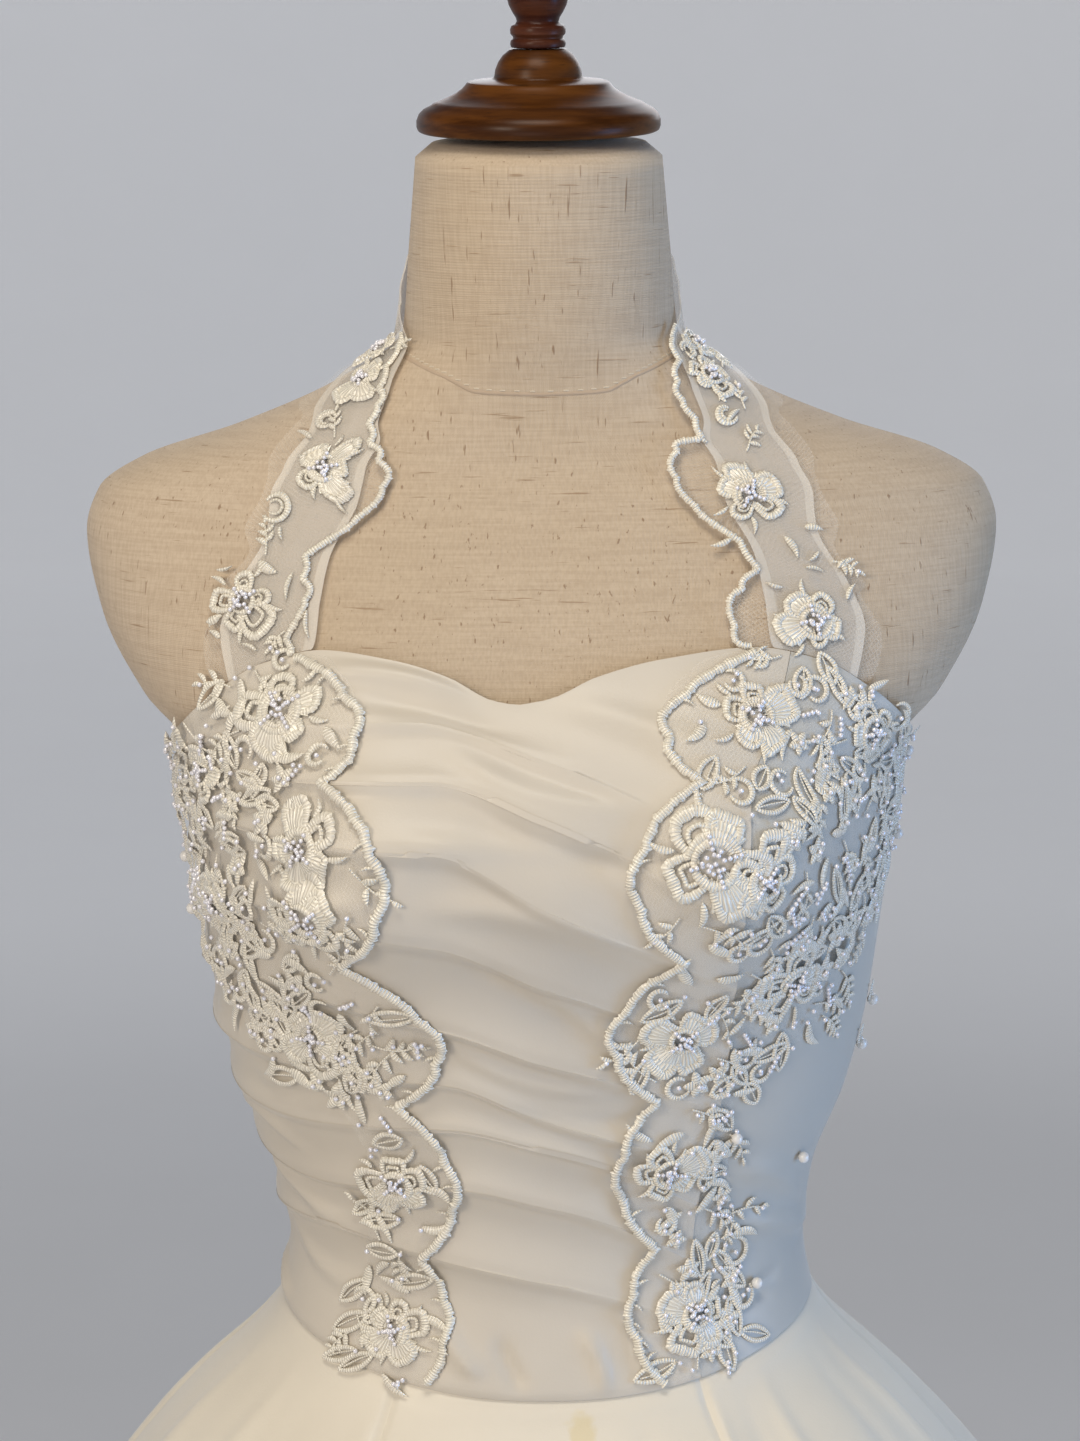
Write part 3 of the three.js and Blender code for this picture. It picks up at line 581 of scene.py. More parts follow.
softCreases = table(("angleFrom", "heightFrom", "angleTo", "heightTo", "spread", "depth"), [
    (-30, 1.284, -9, 1.279, 0.0040, 0.0012), (-22, 1.272, -4, 1.266, 0.0045, -0.0010),
    (2, 1.270, 24, 1.262, 0.0055, 0.0010), (-12, 1.256, 14, 1.236, 0.0050, 0.0010),
    (-8, 1.236, 16, 1.213, 0.0060, -0.0011), (-20, 1.232, 4, 1.215, 0.0045, 0.0009),
    (-16, 1.205, 12, 1.180, 0.0055, 0.0011), (-12, 1.174, 6, 1.150, 0.0050, -0.0010),
    (-6, 1.168, 14, 1.142, 0.0042, 0.0009), (-14, 1.138, 10, 1.122, 0.0040, 0.0008),
    (-4, 1.118, 14, 1.104, 0.0042, -0.0008), (-60, 1.120, -36, 1.114, 0.0035, 0.0010),
    (-75, 1.142, -50, 1.146, 0.0040, 0.0012), (-82, 1.094, -52, 1.088, 0.0036, 0.0010),
    (-78, 1.064, -46, 1.063, 0.0040, 0.0012), (-70, 1.036, -40, 1.030, 0.0040, 0.0009),
    (-20, 1.014, -12, 0.994, 0.0038, 0.0014), (-8, 1.010, -5, 0.988, 0.0032, -0.0010),
    (-32, 1.016, -26, 0.996, 0.0036, 0.0010), (6, 1.012, 10, 0.988, 0.0036, 0.0012),
    (16, 1.010, 19, 0.992, 0.0030, 0.0008), (-90, 1.018, -72, 1.012, 0.0034, 0.0010),
    (-45, 1.210, -28, 1.204, 0.0040, 0.0010), (-64, 1.236, -44, 1.242, 0.0040, 0.0009),
    (34, 1.226, 52, 1.236, 0.0060, 0.0010), (38, 1.160, 66, 1.168, 0.0070, -0.0009),
    (36, 1.072, 70, 1.060, 0.0055, 0.0009), (42, 1.044, 84, 1.048, 0.0050, 0.0010),
    (34, 1.020, 60, 1.026, 0.0045, -0.0007), (110, 1.052, 150, 1.040, 0.0055, 0.0010),
    (100, 1.076, 134, 1.088, 0.0060, 0.0009), (-150, 1.046, -112, 1.056, 0.0055, 0.0010),
    (-140, 1.086, -104, 1.076, 0.0060, 0.0009), (120, 1.150, 162, 1.140, 0.0090, 0.0008),
    (-160, 1.144, -118, 1.152, 0.0090, 0.0008), (126, 1.206, 168, 1.198, 0.0080, -0.0008),
    (-166, 1.196, -124, 1.208, 0.0080, -0.0008), (104, 1.022, 170, 1.024, 0.0040, 0.0008),
])


def creaseRelief(rows, angle, height, degree):
    relief = np.zeros(np.broadcast(angle, height).shape)
    for i in range(len(rows["depth"])):
        x, y = (angle - rows["angleFrom"][i]) * degree, height - rows["heightFrom"][i]
        runX = (rows["angleTo"][i] - rows["angleFrom"][i]) * degree
        runY = rows["heightTo"][i] - rows["heightFrom"][i]
        length = math.hypot(runX, runY)
        along = (x * runX + y * runY) / length ** 2
        off = (x * runY - y * runX) / length + 0.08 * length * np.sin(3.1 * along + i)
        fades = smooth((along + 0.15) / 0.45) * smooth((1.15 - along) / 0.45)
        relief = relief + rows["depth"][i] * fades * bell(off, rows["spread"][i])
    return relief * drape["creases"]


def pleatFade(angle):
    return mix(1, 0.4, smooth((angle + 5) / (cloth["princess"] + 5)))


def pleatRelief(angle, height):  # how far the folds stand out, and how near each place is to a crest
    relief = np.zeros(np.broadcast(angle, height).shape)
    crest = np.zeros_like(relief)
    above, carried = neckline(angle), 0
    for k, (lineAt, depth) in enumerate(drapeLines[1:]):
        line = lineAt(angle)
        local = depth * drape["fullness"] * pleatFade(angle) * (0.86 + 0.3 * ripple(angle * 0.05, k * 2.1, 11 + k))
        t = np.clip((above - height) / (above - line), 0, 1)
        inside = (height <= above + 1e-7) & (height > line)
        lip = drape["lip"] * (1 + 0.4 * ripple(angle * 0.08, k, 31 + k))
        under = above - height  # below a fold the cloth drops back at once, and then goes on more gently
        fall = carried * (drape["steepFall"] * (1 - smooth(under / lip)) +
                          drape["gentleFall"] * (1 - smooth(under / drape["hollow"])))
        swell = local * t ** drape["crest"] * (1 - 0.16 * smooth((t - 0.84) / 0.16))
        relief = np.where(inside, np.maximum(swell, 0) + fall * (1 - t) ** 0.5, relief)
        crest = np.where(inside, smooth((t - 0.86) / drape["crestShare"]) * pleatFade(angle), crest)
        above, carried = line, local * drape["carried"]
    return relief, crest


def drapePlace(u, v):
    angle = mix(cloth["leftSeam"], cloth["princess"] + cloth["seamTurn"], u)
    bands = len(drapeLines) - 1
    place = np.clip((1 - v) * bands, 0, bands - 1e-9)
    band = place.astype(int)
    t = place - band
    t = mix(t, 0.5 - 0.5 * np.cos(np.pi * t), 0.6)  # rows gather at the crests
    lines = np.array([lineAt(angle) for lineAt, _ in drapeLines])
    points = np.arange(len(angle))
    height = mix(lines[band, points], lines[band + 1, points], t)
    relief, crest = pleatRelief(angle, height - 1e-7)
    relief = relief + creaseRelief(softCreases, angle, height, drape["degree"])
    edge = smooth((height - waistSeam(angle)) / 0.004) * smooth((neckline(angle) - height) / 0.004)
    sunk = height - drape["overhang"] * crest * edge
    return onCloth(angle, sunk, bodiceOut + relief * mix(0.25, 1, edge))


def plainPanel(name, fromAngle, toAngle, columns, node, finish):
    def place(u, v):
        angle = mix(fromAngle, toAngle, u)
        height = mix(waistSeam(angle), neckline(angle), v)
        relief = creaseRelief(softCreases, folded(angle), height, drape["degree"])
        relief = relief + 0.0005 * ripple(angle * 0.12, height * 55, 7)
        edge = smooth(np.minimum(v, 1 - v) / 0.03)
        return onCloth(angle, height, bodiceOut + relief * edge)

    width = abs(toAngle - fromAngle) * drape["degree"]
    piece = gridPiece(name, columns, 120, place, finish, drape["thickness"], (width, 0.29))
    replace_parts(piece, node)
    return piece


stains = [
    {"at": (0.0135, -0.098, 0.9705), "spread": (0.0065, 0.03, 0.0105), "ragged": 160.0, "strength": 0.42,
     "color": (0.66, 0.52, 0.20, 1)},
    {"at": (0.001, -0.099, 0.9650), "spread": (0.0075, 0.03, 0.0035), "ragged": 190.0, "strength": 0.28,
     "color": (0.66, 0.54, 0.26, 1)},
]
satin = satinFinish("ivorySatin", (0.622, 0.560, 0.462, 1), (0.575, 0.515, 0.424, 1))
# painted shade: a darker, greyer copy of the bodice satin, for the side panel on the viewer's right
shadedSatin = satinFinish("shadedSideSatin", (0.520, 0.500, 0.445, 1), (0.485, 0.465, 0.415, 1))
# painted light: the skirt's satin is a lighter copy of the bodice's; the stains on it are the cloth's own marks
stainedPaintedLightSatin = satinFinish("lightenedSkirtSatin", (0.745, 0.682, 0.560, 1), (0.695, 0.630, 0.520, 1), stains)

drapeWidth = (cloth["princess"] - cloth["leftSeam"]) * drape["degree"]
drapeRows = (len(drapeLines) - 1) * drape["bandRows"] + 1
front = gridPiece(
    "bodiceDrape", drape["columns"], drapeRows, drapePlace, satin, drape["thickness"], (drapeWidth, 0.31))
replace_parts(front, "bodice_drape")
gap, princessFrom = cloth["seamAngle"], cloth["princess"] + cloth["princessGap"] - cloth["seamTurn"]
sideRight = plainPanel(
    "bodiceSideRight", princessFrom, cloth["rightSeam"] - gap, 70, "bodice_side_right", shadedSatin)
backRight = plainPanel("bodiceBackRight", cloth["rightSeam"], 180 - gap / 2, 80, "bodice_back_right", satin)
backLeft = plainPanel(
    "bodiceBackLeft", 180 + gap / 2, 360 + cloth["leftSeam"] - gap, 80, "bodice_back_left", satin)
print("bodice made")


# The buttoned closing down the back

closing = {
    "from": 176.0, "to": 187.0, "top": 1.2175, "bottom": 1.0055, "lift": 0.0008, "thickness": 0.0010,
    "buttons": 8, "firstBelow": 0.012, "pitch": 0.026, "radius": 0.0055, "height": 0.0048,
    "footCut": 0.12,  # how much of the dome is kept below its middle, in its radius
    "footGap": 0.0002,
}
closingOut = bodiceOut + closing["lift"] + closing["thickness"]


def closingPlace(u, v):
    angle = mix(closing["from"], closing["to"], u)
    height = mix(closing["bottom"], closing["top"], v)
    turnedEdge = 0.0004 * (1 - smooth(np.minimum(u, 1 - u) / 0.12))
    pull = 0.0003 * np.cos((closing["top"] - closing["firstBelow"] - height) / closing["pitch"] * 2 * np.pi)
    return onCloth(angle, height, closingOut - turnedEdge + pull * smooth(np.minimum(u, 1 - u) / 0.2))


closingStrip = gridPiece(
    "bodiceClosing", 24, 150, closingPlace, satin, closing["thickness"], (0.026, 0.212))
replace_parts(closingStrip, "bodice_placket")


def coveredButton():  # a domed button with a flat foot
    piece = newPiece(
        "coveredButton", bpy.ops.mesh.primitive_uv_sphere_add, segments=28, ring_count=18, radius=1)
    cut = closing["footCut"]
    bpy.ops.object.mode_set(mode="EDIT")
    bpy.ops.mesh.select_all(action="SELECT")
    bpy.ops.mesh.bisect(plane_co=(0, 0, -cut), plane_no=(0, 0, 1), clear_inner=True, use_fill=True)
    bpy.ops.mesh.select_all(action="SELECT")
    bpy.ops.transform.translate(value=(0, 0, cut))
    bpy.ops.object.mode_set(mode="OBJECT")
    piece.data.transform(Matrix.Diagonal((closing["radius"], closing["radius"], closing["height"] / (1 + cut), 1)))
    return piece


oneButton = coveredButton()
for number in range(closing["buttons"]):
    height = closing["top"] - closing["firstBelow"] - number * closing["pitch"]
    middle = np.array([(closing["from"] + closing["to"]) / 2])
    foot, tip = (Vector(onCloth(middle, np.array([height]), np.array([closingOut + lift]))[0])
                 for lift in (closing["footGap"], 0.01))
    button = oneButton.copy()
    button.data = oneButton.data.copy()
    bpy.context.collection.objects.link(button)
    button.name = button.data.name = f"coveredButton{number + 1}"
    turn = (tip - foot).to_track_quat("Z", "Y").to_matrix().to_4x4()
    button.data.transform(Matrix.Translation(foot) @ turn)
    finishPiece(button, satin)
    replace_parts(button, f"button_{number + 1}")
bpy.data.objects.remove(oneButton)
print("back closing made")


# The skirt

skirt = {
    "hem": 0.012, "tuck": 0.004, "tuckOut": 0.0017, "tuckBend": 0.0012, "seamDip": 0.0016, "seamSpread": 0.0022,
    "slack": 0.0035, "rows": 118, "rowGather": 1.35, "thickness": 0.0012,
}
flareRows = table(("drop", "out"), [
    (0, 0), (0.006, 0.003), (0.019, 0.013), (0.043, 0.037), (0.074, 0.063), (0.130, 0.101), (0.220, 0.149),
    (0.350, 0.202), (0.550, 0.266), (0.750, 0.315), (0.992, 0.362)])
flareAt = curveThrough(flareRows, "drop", "out")
foldRows = table(("angle", "spread", "depth", "start"), [
    (-164, 9, 0.034, 0.060), (-141, 8, 0.028, 0.090), (-118, 9, 0.036, 0.060), (-93, 8, 0.030, 0.070),
    (-68, 9, 0.034, 0.120), (-43, 8, 0.027, 0.150), (-19, 9, 0.031, 0.170), (5, 8, 0.024, 0.190),
    (22, 7, 0.030, 0.020), (57, 10, 0.034, 0.015), (84, 7, 0.027, 0.090), (104, 9, 0.035, 0.060),
    (127, 8, 0.029, 0.090), (151, 9, 0.033, 0.070), (175, 8, 0.028, 0.100)])
smallFolds = table(("angle", "spread", "depth", "start", "end"), [
    (-128, 3.0, 0.0030, 0.004, 0.30), (-104, 3.5, 0.0034, 0.004, 0.26), (-78, 3.0, 0.0030, 0.006, 0.22),
    (-58, 2.6, 0.0026, 0.004, 0.18), (-46, 3.2, -0.0022, 0.010, 0.24), (-31, 2.6, 0.0022, 0.004, 0.16),
    (-9, 2.8, 0.0018, 0.006, 0.20), (14, 2.2, -0.0018, 0.004, 0.14), (29, 2.0, 0.0026, 0.002, 0.12),
    (38, 2.4, -0.0028, 0.002, 0.20), (47, 2.0, 0.0032, 0.002, 0.15), (66, 2.4, -0.0030, 0.003, 0.24),
    (74, 2.2, 0.0036, 0.002, 0.16), (96, 3.0, 0.0030, 0.004, 0.22), (118, 3.4, 0.0034, 0.004, 0.28),
    (139, 3.0, -0.0026, 0.006, 0.26), (163, 3.2, 0.0030, 0.004, 0.24), (-176, 3.0, 0.0026, 0.004, 0.24),
    (-152, 3.2, -0.0026, 0.006, 0.28)])


def foldOut(angle, drop, length):
    out = np.zeros_like(drop)
    for i in range(len(foldRows["angle"])):
        grown = np.clip((drop - foldRows["start"][i]) / (length - foldRows["start"][i]), 0, 1) ** 0.8
        away = folded(angle - foldRows["angle"][i])
        out = out + foldRows["depth"][i] * grown * bell(away, foldRows["spread"][i])
    for i in range(len(smallFolds["angle"])):
        along = (drop - smallFolds["start"][i]) / (smallFolds["end"][i] - smallFolds["start"][i])
        window = smooth(along / 0.25) * smooth((1.3 - along) / 0.8)
        away = folded(angle - smallFolds["angle"][i] - 2.5 * np.sin(3 * along + i))
        out = out + smallFolds["depth"][i] * window * bell(away, smallFolds["spread"][i])
    return out


# The top is tucked under the bodice, and the seams lie a little in. The slack doesn't repeat after a full turn, so
# the seam where -30 meets 330 is open by up to 2.4 mm.
def skirtPoints(angle, share, toSeam):
    seam = waistSeam(angle)
    height = mix(seam + skirt["tuck"], skirt["hem"], share)
    drop = np.maximum(seam - height, 0)
    tucked = smooth((height - seam + skirt["tuckBend"]) / skirt["tuckBend"])
    waist = onCloth(angle, np.maximum(seam, height), mix(bodiceOut, skirt["tuckOut"], tucked))
    slack = skirt["slack"] * smooth(drop / 0.08) * ripple(angle * 0.16, drop * 14, 5)
    out = flareAt(drop) + foldOut(angle, drop, seam - skirt["hem"]) + slack - skirt["seamDip"] * toSeam
    away = np.stack([np.sin(np.radians(angle)), -np.cos(np.radians(angle))], -1)
    return np.concatenate([waist[:, :2] + out[:, None] * away, height[:, None]], -1)


gores = [  # name, node, seams, columns, the cut's width at the hem and its length
    ("skirtFront", "skirt_front", -30, 30, 72, 0.56, 1.07),
    ("skirtSideFrontRight", "skirt_side_front_right", 30, 92, 72, 0.58, 1.08),
    ("skirtSideBackRight", "skirt_side_back_right", 92, 138, 56, 0.46, 1.08),
    ("skirtBackRight", "skirt_back_right", 138, 180, 52, 0.44, 1.08),
    ("skirtBackLeft", "skirt_back_left", 180, 222, 52, 0.44, 1.08),
    ("skirtSideBackLeft", "skirt_side_back_left", 222, 262, 50, 0.42, 1.08),
    ("skirtSideFrontLeft", "skirt_side_front_left", 262, 330, 78, 0.64, 1.08),
]
for name, node, fromAngle, toAngle, columns, hemWidth, length in gores:
    def gorePlace(u, v, fromAngle=fromAngle, toAngle=toAngle):
        spread = 0.5 - 0.5 * np.cos(np.pi * u)  # columns gather at the seams
        angle = mix(fromAngle, toAngle, mix(u, spread, 0.5))
        near = np.minimum(angle - fromAngle, toAngle - angle) * (0.0019 + 0.0062 * (1 - v))
        toSeam = bell(near, skirt["seamSpread"]) * smooth((1 - v) / 0.04)
        return skirtPoints(angle, (1 - v) ** skirt["rowGather"], toSeam)

    gore = gridPiece(
        name, columns, skirt["rows"], gorePlace, stainedPaintedLightSatin, skirt["thickness"], (hemWidth, length))
    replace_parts(gore, node)
print("skirt made")


# Embroidery and beads

thread = {
    "profile": (-1, -0.62, 0, 0.62, 1), "rise": (0.1, 0.78, 1, 0.78, 0.1), "ribPitch": 0.0012,
    "bandUnit": 0.314,  # one band of a wave texture at scale 1
    "beadRadius": 0.00105, "beadSides": 8, "beadRings": 5,
    "beadPitch": 2.05,  # from one bead of a row to the next, in their radius
    "beadSeat": 0.7,  # how far a bead's middle stands out, in its radius
}


class ThreadWork:  # gathers stitched strokes and beads, then lays them all on one cloth at once
    def __init__(self, name, sign, ground, clothOut, seed):
        self.name = name
        self.sign = sign  # 1 on the viewer's right, -1 on the left
        self.ground = ground
        self.clothOut = clothOut
        self.random = random.Random(seed)
        self.strokes = []
        self.beads = []

    def frameAt(self, angle, height):  # metres for each degree outwards, and how a metre up leans and rises
        here = self.ground(angle, height, 0.003)
        turn = (self.ground(angle + self.sign * 0.5, height, 0.003) - here) * 2
        rise = (self.ground(angle, height + 0.0005, 0.003) - here) * 2000
        width = np.linalg.norm(turn, axis=-1)
        across = turn / width[..., None]
        lean = (rise * across).sum(-1)
        tall = np.linalg.norm(rise - lean[..., None] * across, axis=-1)
        return width, lean, tall

    def spot(self, angle, height):  # a place for a motif, whose x runs outwards and y up
        angle, height = np.array(angle, float), np.array(height, float)
        return angle, height, self.frameAt(angle, height)

    def onSpot(self, spot, x, y):
        angle, height, (width, lean, tall) = spot
        rise = y / tall
        return angle + self.sign * (x - rise * lean) / width, height + rise

    def lay(self, spot, path, half, lift, base=0.0, pitch=None):
        path, half = np.asarray(path, float), np.broadcast_to(half, len(path))
        ahead = np.gradient(path, axis=0)
        ahead /= np.maximum(np.linalg.norm(ahead, axis=1, keepdims=True), 1e-9)
        spread = half[:, None] * np.array(thread["profile"])
        x = path[:, :1] - ahead[:, 1:] * spread
        y = path[:, 1:] + ahead[:, :1] * spread
        share = np.linspace(0, 1, len(path))
        ends = np.sin(np.pi * np.clip(share * 0.96 + 0.02, 0, 1)) ** 0.4
        out = base + (lift * ends)[:, None] * np.array(thread["rise"])
        steps = np.linalg.norm(np.diff(path, axis=0), axis=1)
        along = np.concatenate([[0], np.cumsum(steps)]) / (pitch or thread["ribPitch"]) * thread["bandUnit"]
        angle, height = self.onSpot(spot, x, y)
        self.strokes.append((angle, height, out, along))

    def run(self, angles, heights, half, lift, base=0.0):  # a long cord that follows its own line on the cloth
        width, lean, tall = self.frameAt(angles, heights)
        turn, rise = self.sign * np.gradient(angles), np.gradient(heights)
        ahead = np.stack([turn * width + rise * lean, rise * tall], -1)
        steps = np.linalg.norm(ahead, axis=1)
        ahead /= np.maximum(steps[:, None], 1e-9)
        spread = np.broadcast_to(half, len(angles))[:, None] * np.array(thread["profile"])
        x, y = -ahead[:, 1:] * spread, ahead[:, :1] * spread
        up = y / tall[:, None]
        angle = angles[:, None] + self.sign * (x - up * lean[:, None]) / width[:, None]
        out = base + lift * np.array(thread["rise"]) * np.ones_like(angle)
        along = np.cumsum(steps) / thread["ribPitch"] * thread["bandUnit"]
        self.strokes.append((angle, heights[:, None] + up, out, along))

    def bead(self, spot, x, y, radius=None, lift=0.0):
        angle, height = self.onSpot(spot, np.array(x, float), np.array(y, float))
        self.beads.append((float(angle), float(height), radius or thread["beadRadius"], lift))

    def strokeMesh(self):
        across = len(thread["profile"])
        uv, faces, first = [], [], 0
        angle, height, out = (np.concatenate([s[i].ravel() for s in self.strokes]) for i in range(3))
        points = self.ground(angle, height, self.clothOut(angle, height) + out)
        for strokeAngle, _, _, along in self.strokes:
            rows = len(strokeAngle)
            uv.append(np.stack(np.meshgrid(np.linspace(0, 1, across), along), -1).reshape(-1, 2))
            i, j = np.meshgrid(np.arange(rows - 1), np.arange(across), indexing="ij")
            k = (j + 1) % across
            quads = np.stack([i * across + j, (i + 1) * across + j, (i + 1) * across + k, i * across + k], -1)
            faces += (quads.reshape(-1, 4) + first).tolist()
            faces.append([first + j for j in range(across - 1, -1, -1)])
            faces.append([first + (rows - 1) * across + j for j in range(across)])
            first += rows * across
        return points, np.concatenate(uv), faces

    def make(self, finish):
        points, uv, faces = self.strokeMesh()
        mesh = bpy.data.meshes.new(self.name)
        mesh.from_pydata(points.tolist(), [], faces)
        corners = np.empty(len(mesh.loops), int)
        mesh.loops.foreach_get("vertex_index", corners)
        mesh.uv_layers.new(name="UVMap").data.foreach_set("uv", uv[corners].ravel())
        piece = linked(self.name, mesh)
        faceOutwards(piece)
        finishPiece(piece, finish, angle=70)
        print(self.name, len(self.strokes), "strokes,", len(mesh.polygons), "faces")
        return piece

    def makeBeads(self, name, finish):
        piece = newPiece(
            name, bpy.ops.mesh.primitive_uv_sphere_add, segments=thread["beadSides"],
            ring_count=thread["beadRings"], radius=1)
        corners = cornersOf(piece.data)
        faces = [list(face.vertices) for face in piece.data.polygons]
        angle, height, radius, lift = (np.array(column) for column in zip(*self.beads))
        centres = self.ground(angle, height, self.clothOut(angle, height) + lift + radius * thread["beadSeat"])
        points = centres[:, None, :] + corners[None, :, :] * radius[:, None, None]
        every = [[v + len(corners) * k for v in face] for k in range(len(radius)) for face in faces]
        mesh = bpy.data.meshes.new(name)
        mesh.from_pydata(points.reshape(-1, 3).tolist(), [], every)
        piece.data = mesh
        finishPiece(piece, finish)
        return piece


def turnedPath(path, degrees, x=0.0, y=0.0):
    c, s = math.cos(math.radians(degrees)), math.sin(math.radians(degrees))
    path = np.asarray(path, float)
    return np.stack([x + c * path[:, 0] - s * path[:, 1], y + s * path[:, 0] + c * path[:, 1]], -1)


def leaf(work, spot, x, y, turn, length, width, bend=0.12, lift=0.0009):  # one padded satin-stitched leaf
    t = np.linspace(0, 1, 8)
    path = np.stack([t * length, bend * length * np.sin(np.pi * t)], -1)
    half = width / 2 * np.maximum(np.sin(np.pi * t ** 0.8) ** 0.75, 0.06)
    work.lay(spot, turnedPath(path, turn, x, y), half, lift)


def openLeaf(work, spot, x, y, turn, length, width):  # two stitched outlines with a bare middle and a vein
    t = np.linspace(0, 1, 9)
    for way in (-1, 1):
        path = np.stack([t * length, way * width / 2 * np.sin(np.pi * t) ** 0.8], -1)
        work.lay(spot, turnedPath(path, turn, x, y), 0.0007 + 0.0004 * np.sin(np.pi * t), 0.0009)
    vein = np.stack([t * length * 0.86, 0.03 * length * np.sin(3 * t)], -1)
    work.lay(spot, turnedPath(vein, turn, x, y), 0.00035 + 0 * t, 0.0004)


def curl(work, spot, x, y, turn, radius, width=0.0026):  # a wide C-shaped scroll
    t = np.linspace(0, 1, 15)
    around = np.radians(-150 + 290 * t)
    path = np.stack([radius * np.cos(around), radius * np.sin(around)], -1) * (0.72 + 0.28 * t)[:, None]
    work.lay(spot, turnedPath(path, turn, x, y), width / 2 * (0.35 + 0.65 * np.sin(np.pi * t) ** 0.7), 0.0010)


def spray(work, spot, x, y, turn, length, leaves=5, size=0.0052):  # a bent stem with leaves in pairs
    t = np.linspace(0, 1, 8)
    stem = np.stack([t * length, 0.16 * length * np.sin(2.4 * t)], -1)
    stem = turnedPath(stem, turn, x, y)
    work.lay(spot, stem, 0.00045 - 0.0001 * t, 0.0006)
    for k in range(leaves):
        at = 0.3 + 0.7 * k / max(1, leaves - 1)
        px, py = np.interp(at, t, stem[:, 0]), np.interp(at, t, stem[:, 1])
        side = (1 if k % 2 else -1) * (48 if k < leaves - 1 else 4)
        leafLength = size * (1.1 - 0.35 * at) * work.random.uniform(0.85, 1.15)
        leaf(work, spot, px, py, turn + side + work.random.uniform(-8, 8), leafLength, leafLength * 0.42)
    if work.random.random() < 0.6:
        work.bead(spot, stem[-1, 0], stem[-1, 1])


def beadRow(work, spot, x, y, turn, length, radius=None, lift=0.0):
    radius = radius or thread["beadRadius"]
    for k in range(max(2, int(length / (thread["beadPitch"] * radius)))):
        step = thread["beadPitch"] * radius * k
        c, s = math.cos(math.radians(turn)), math.sin(math.radians(turn))
        work.bead(spot, x + c * step, y + s * step, radius, lift)


def jagged(path, half):  # every second stitch is shorter, so the edge looks sewn
    return half * np.where(np.arange(len(path)) % 2, 0.88, 1.12)


def petal(work, spot, turn, size, filled, double, broad=1.0):
    t = np.linspace(0, 1, 25)
    arch = np.sin(np.pi * t)
    wavy = 1 + 0.05 * np.sin(5 * np.pi * t + work.random.uniform(0, 6.283))
    forward = size * (0.2 + 0.76 * arch ** 0.75 * wavy)
    turned = np.cos(np.pi * t)
    side = -broad * size * 0.42 * np.sign(turned) * np.abs(turned) ** 0.6 * (0.55 + 0.45 * arch)
    outline = turnedPath(np.stack([forward, side], -1), turn)
    band = np.clip(size * 0.105, 0.0011, 0.0021) * (0.55 + 0.6 * arch)
    work.lay(spot, outline, jagged(outline, band), 0.0012)
    if filled:  # long stitches that fan out from the middle
        u = np.linspace(-1, 1, 11)
        fan = np.radians(34 * broad) * u
        path = turnedPath(size * 0.55 * np.stack([np.cos(fan), np.sin(fan)], -1), turn)
        work.lay(spot, path, jagged(path, size * 0.34 * np.cos(0.9 * u) ** 0.7), 0.0009)
    if double:
        inner = turnedPath(np.stack([0.16 * size + forward * 0.58, side * 0.52], -1), turn)
        work.lay(spot, inner, size * 0.05 + 0 * t, 0.0010)


def rosette(work, spot, radius, petals=5):  # a small flower of filled petals round one bead
    turn = work.random.uniform(0, 72)
    for k in range(petals):
        length = radius * work.random.uniform(0.8, 1.1)
        leaf(work, spot, 0, 0, turn + 360 / petals * k, length, radius * 0.62, 0.0)
    work.bead(spot, 0, 0, None, 0.0010)


def heart(work, spot, radius):  # crescents laid over each other round a flower's middle
    for k in range(4):
        start, t = work.random.uniform(0, 360), np.linspace(0, 1, 12)
        around = np.radians(start + work.random.uniform(120, 190) * t)
        away = radius * work.random.uniform(0.26, 0.46) * (1 + 0.16 * t)
        path = np.stack([away * np.cos(around), away * np.sin(around)], -1)
        half = radius * 0.085 * np.sin(np.pi * (0.1 + 0.8 * t)) ** 0.6
        work.lay(spot, path, jagged(path, half), 0.0011, 0.0005)


def flower(work, angle, height, radius, turn=0.0, petals=5):
    spot = work.spot(angle, height)
    rng = work.random
    fills = [rng.random() < 0.55 for _ in range(petals)]
    for k in range(petals):
        size, broad = radius * rng.uniform(0.70, 1.16), rng.uniform(0.85, 1.35)
        petal(work, spot, turn + 360 / petals * k + rng.uniform(-16, 16), size, fills[k], not fills[k], broad)
    heart(work, spot, radius)
    beadSize = thread["beadRadius"] * (0.9 + 0.012 * (radius * 1000 - 14))
    for k in range(4):  # a cross of beads, with more heaped in the middle
        way = turn + 40 + 90 * k
        x, y = (0.14 * radius * v for v in (math.cos(math.radians(way)), math.sin(math.radians(way))))
        beadRow(work, spot, x, y, way, radius * 0.46, beadSize, 0.0010)
    for _ in range(int(5 + radius * 260)):
        away, around = radius * 0.24 * rng.random() ** 0.6, rng.uniform(0, 6.283)
        work.bead(spot, away * math.cos(around), away * math.sin(around), beadSize, 0.0014 + 0.0007 * rng.random())
    for k in range(rng.randint(3, 5)):  # small leaves and points between the petals
        way = turn + 360 / petals * (k + 0.5) + rng.uniform(-12, 12)
        c, s = math.cos(math.radians(way)), math.sin(math.radians(way))
        leaf(work, spot, 0.72 * radius * c, 0.72 * radius * s, way + rng.uniform(-15, 15),
             radius * rng.uniform(0.36, 0.6), radius * 0.14)


# The lace on the bodice

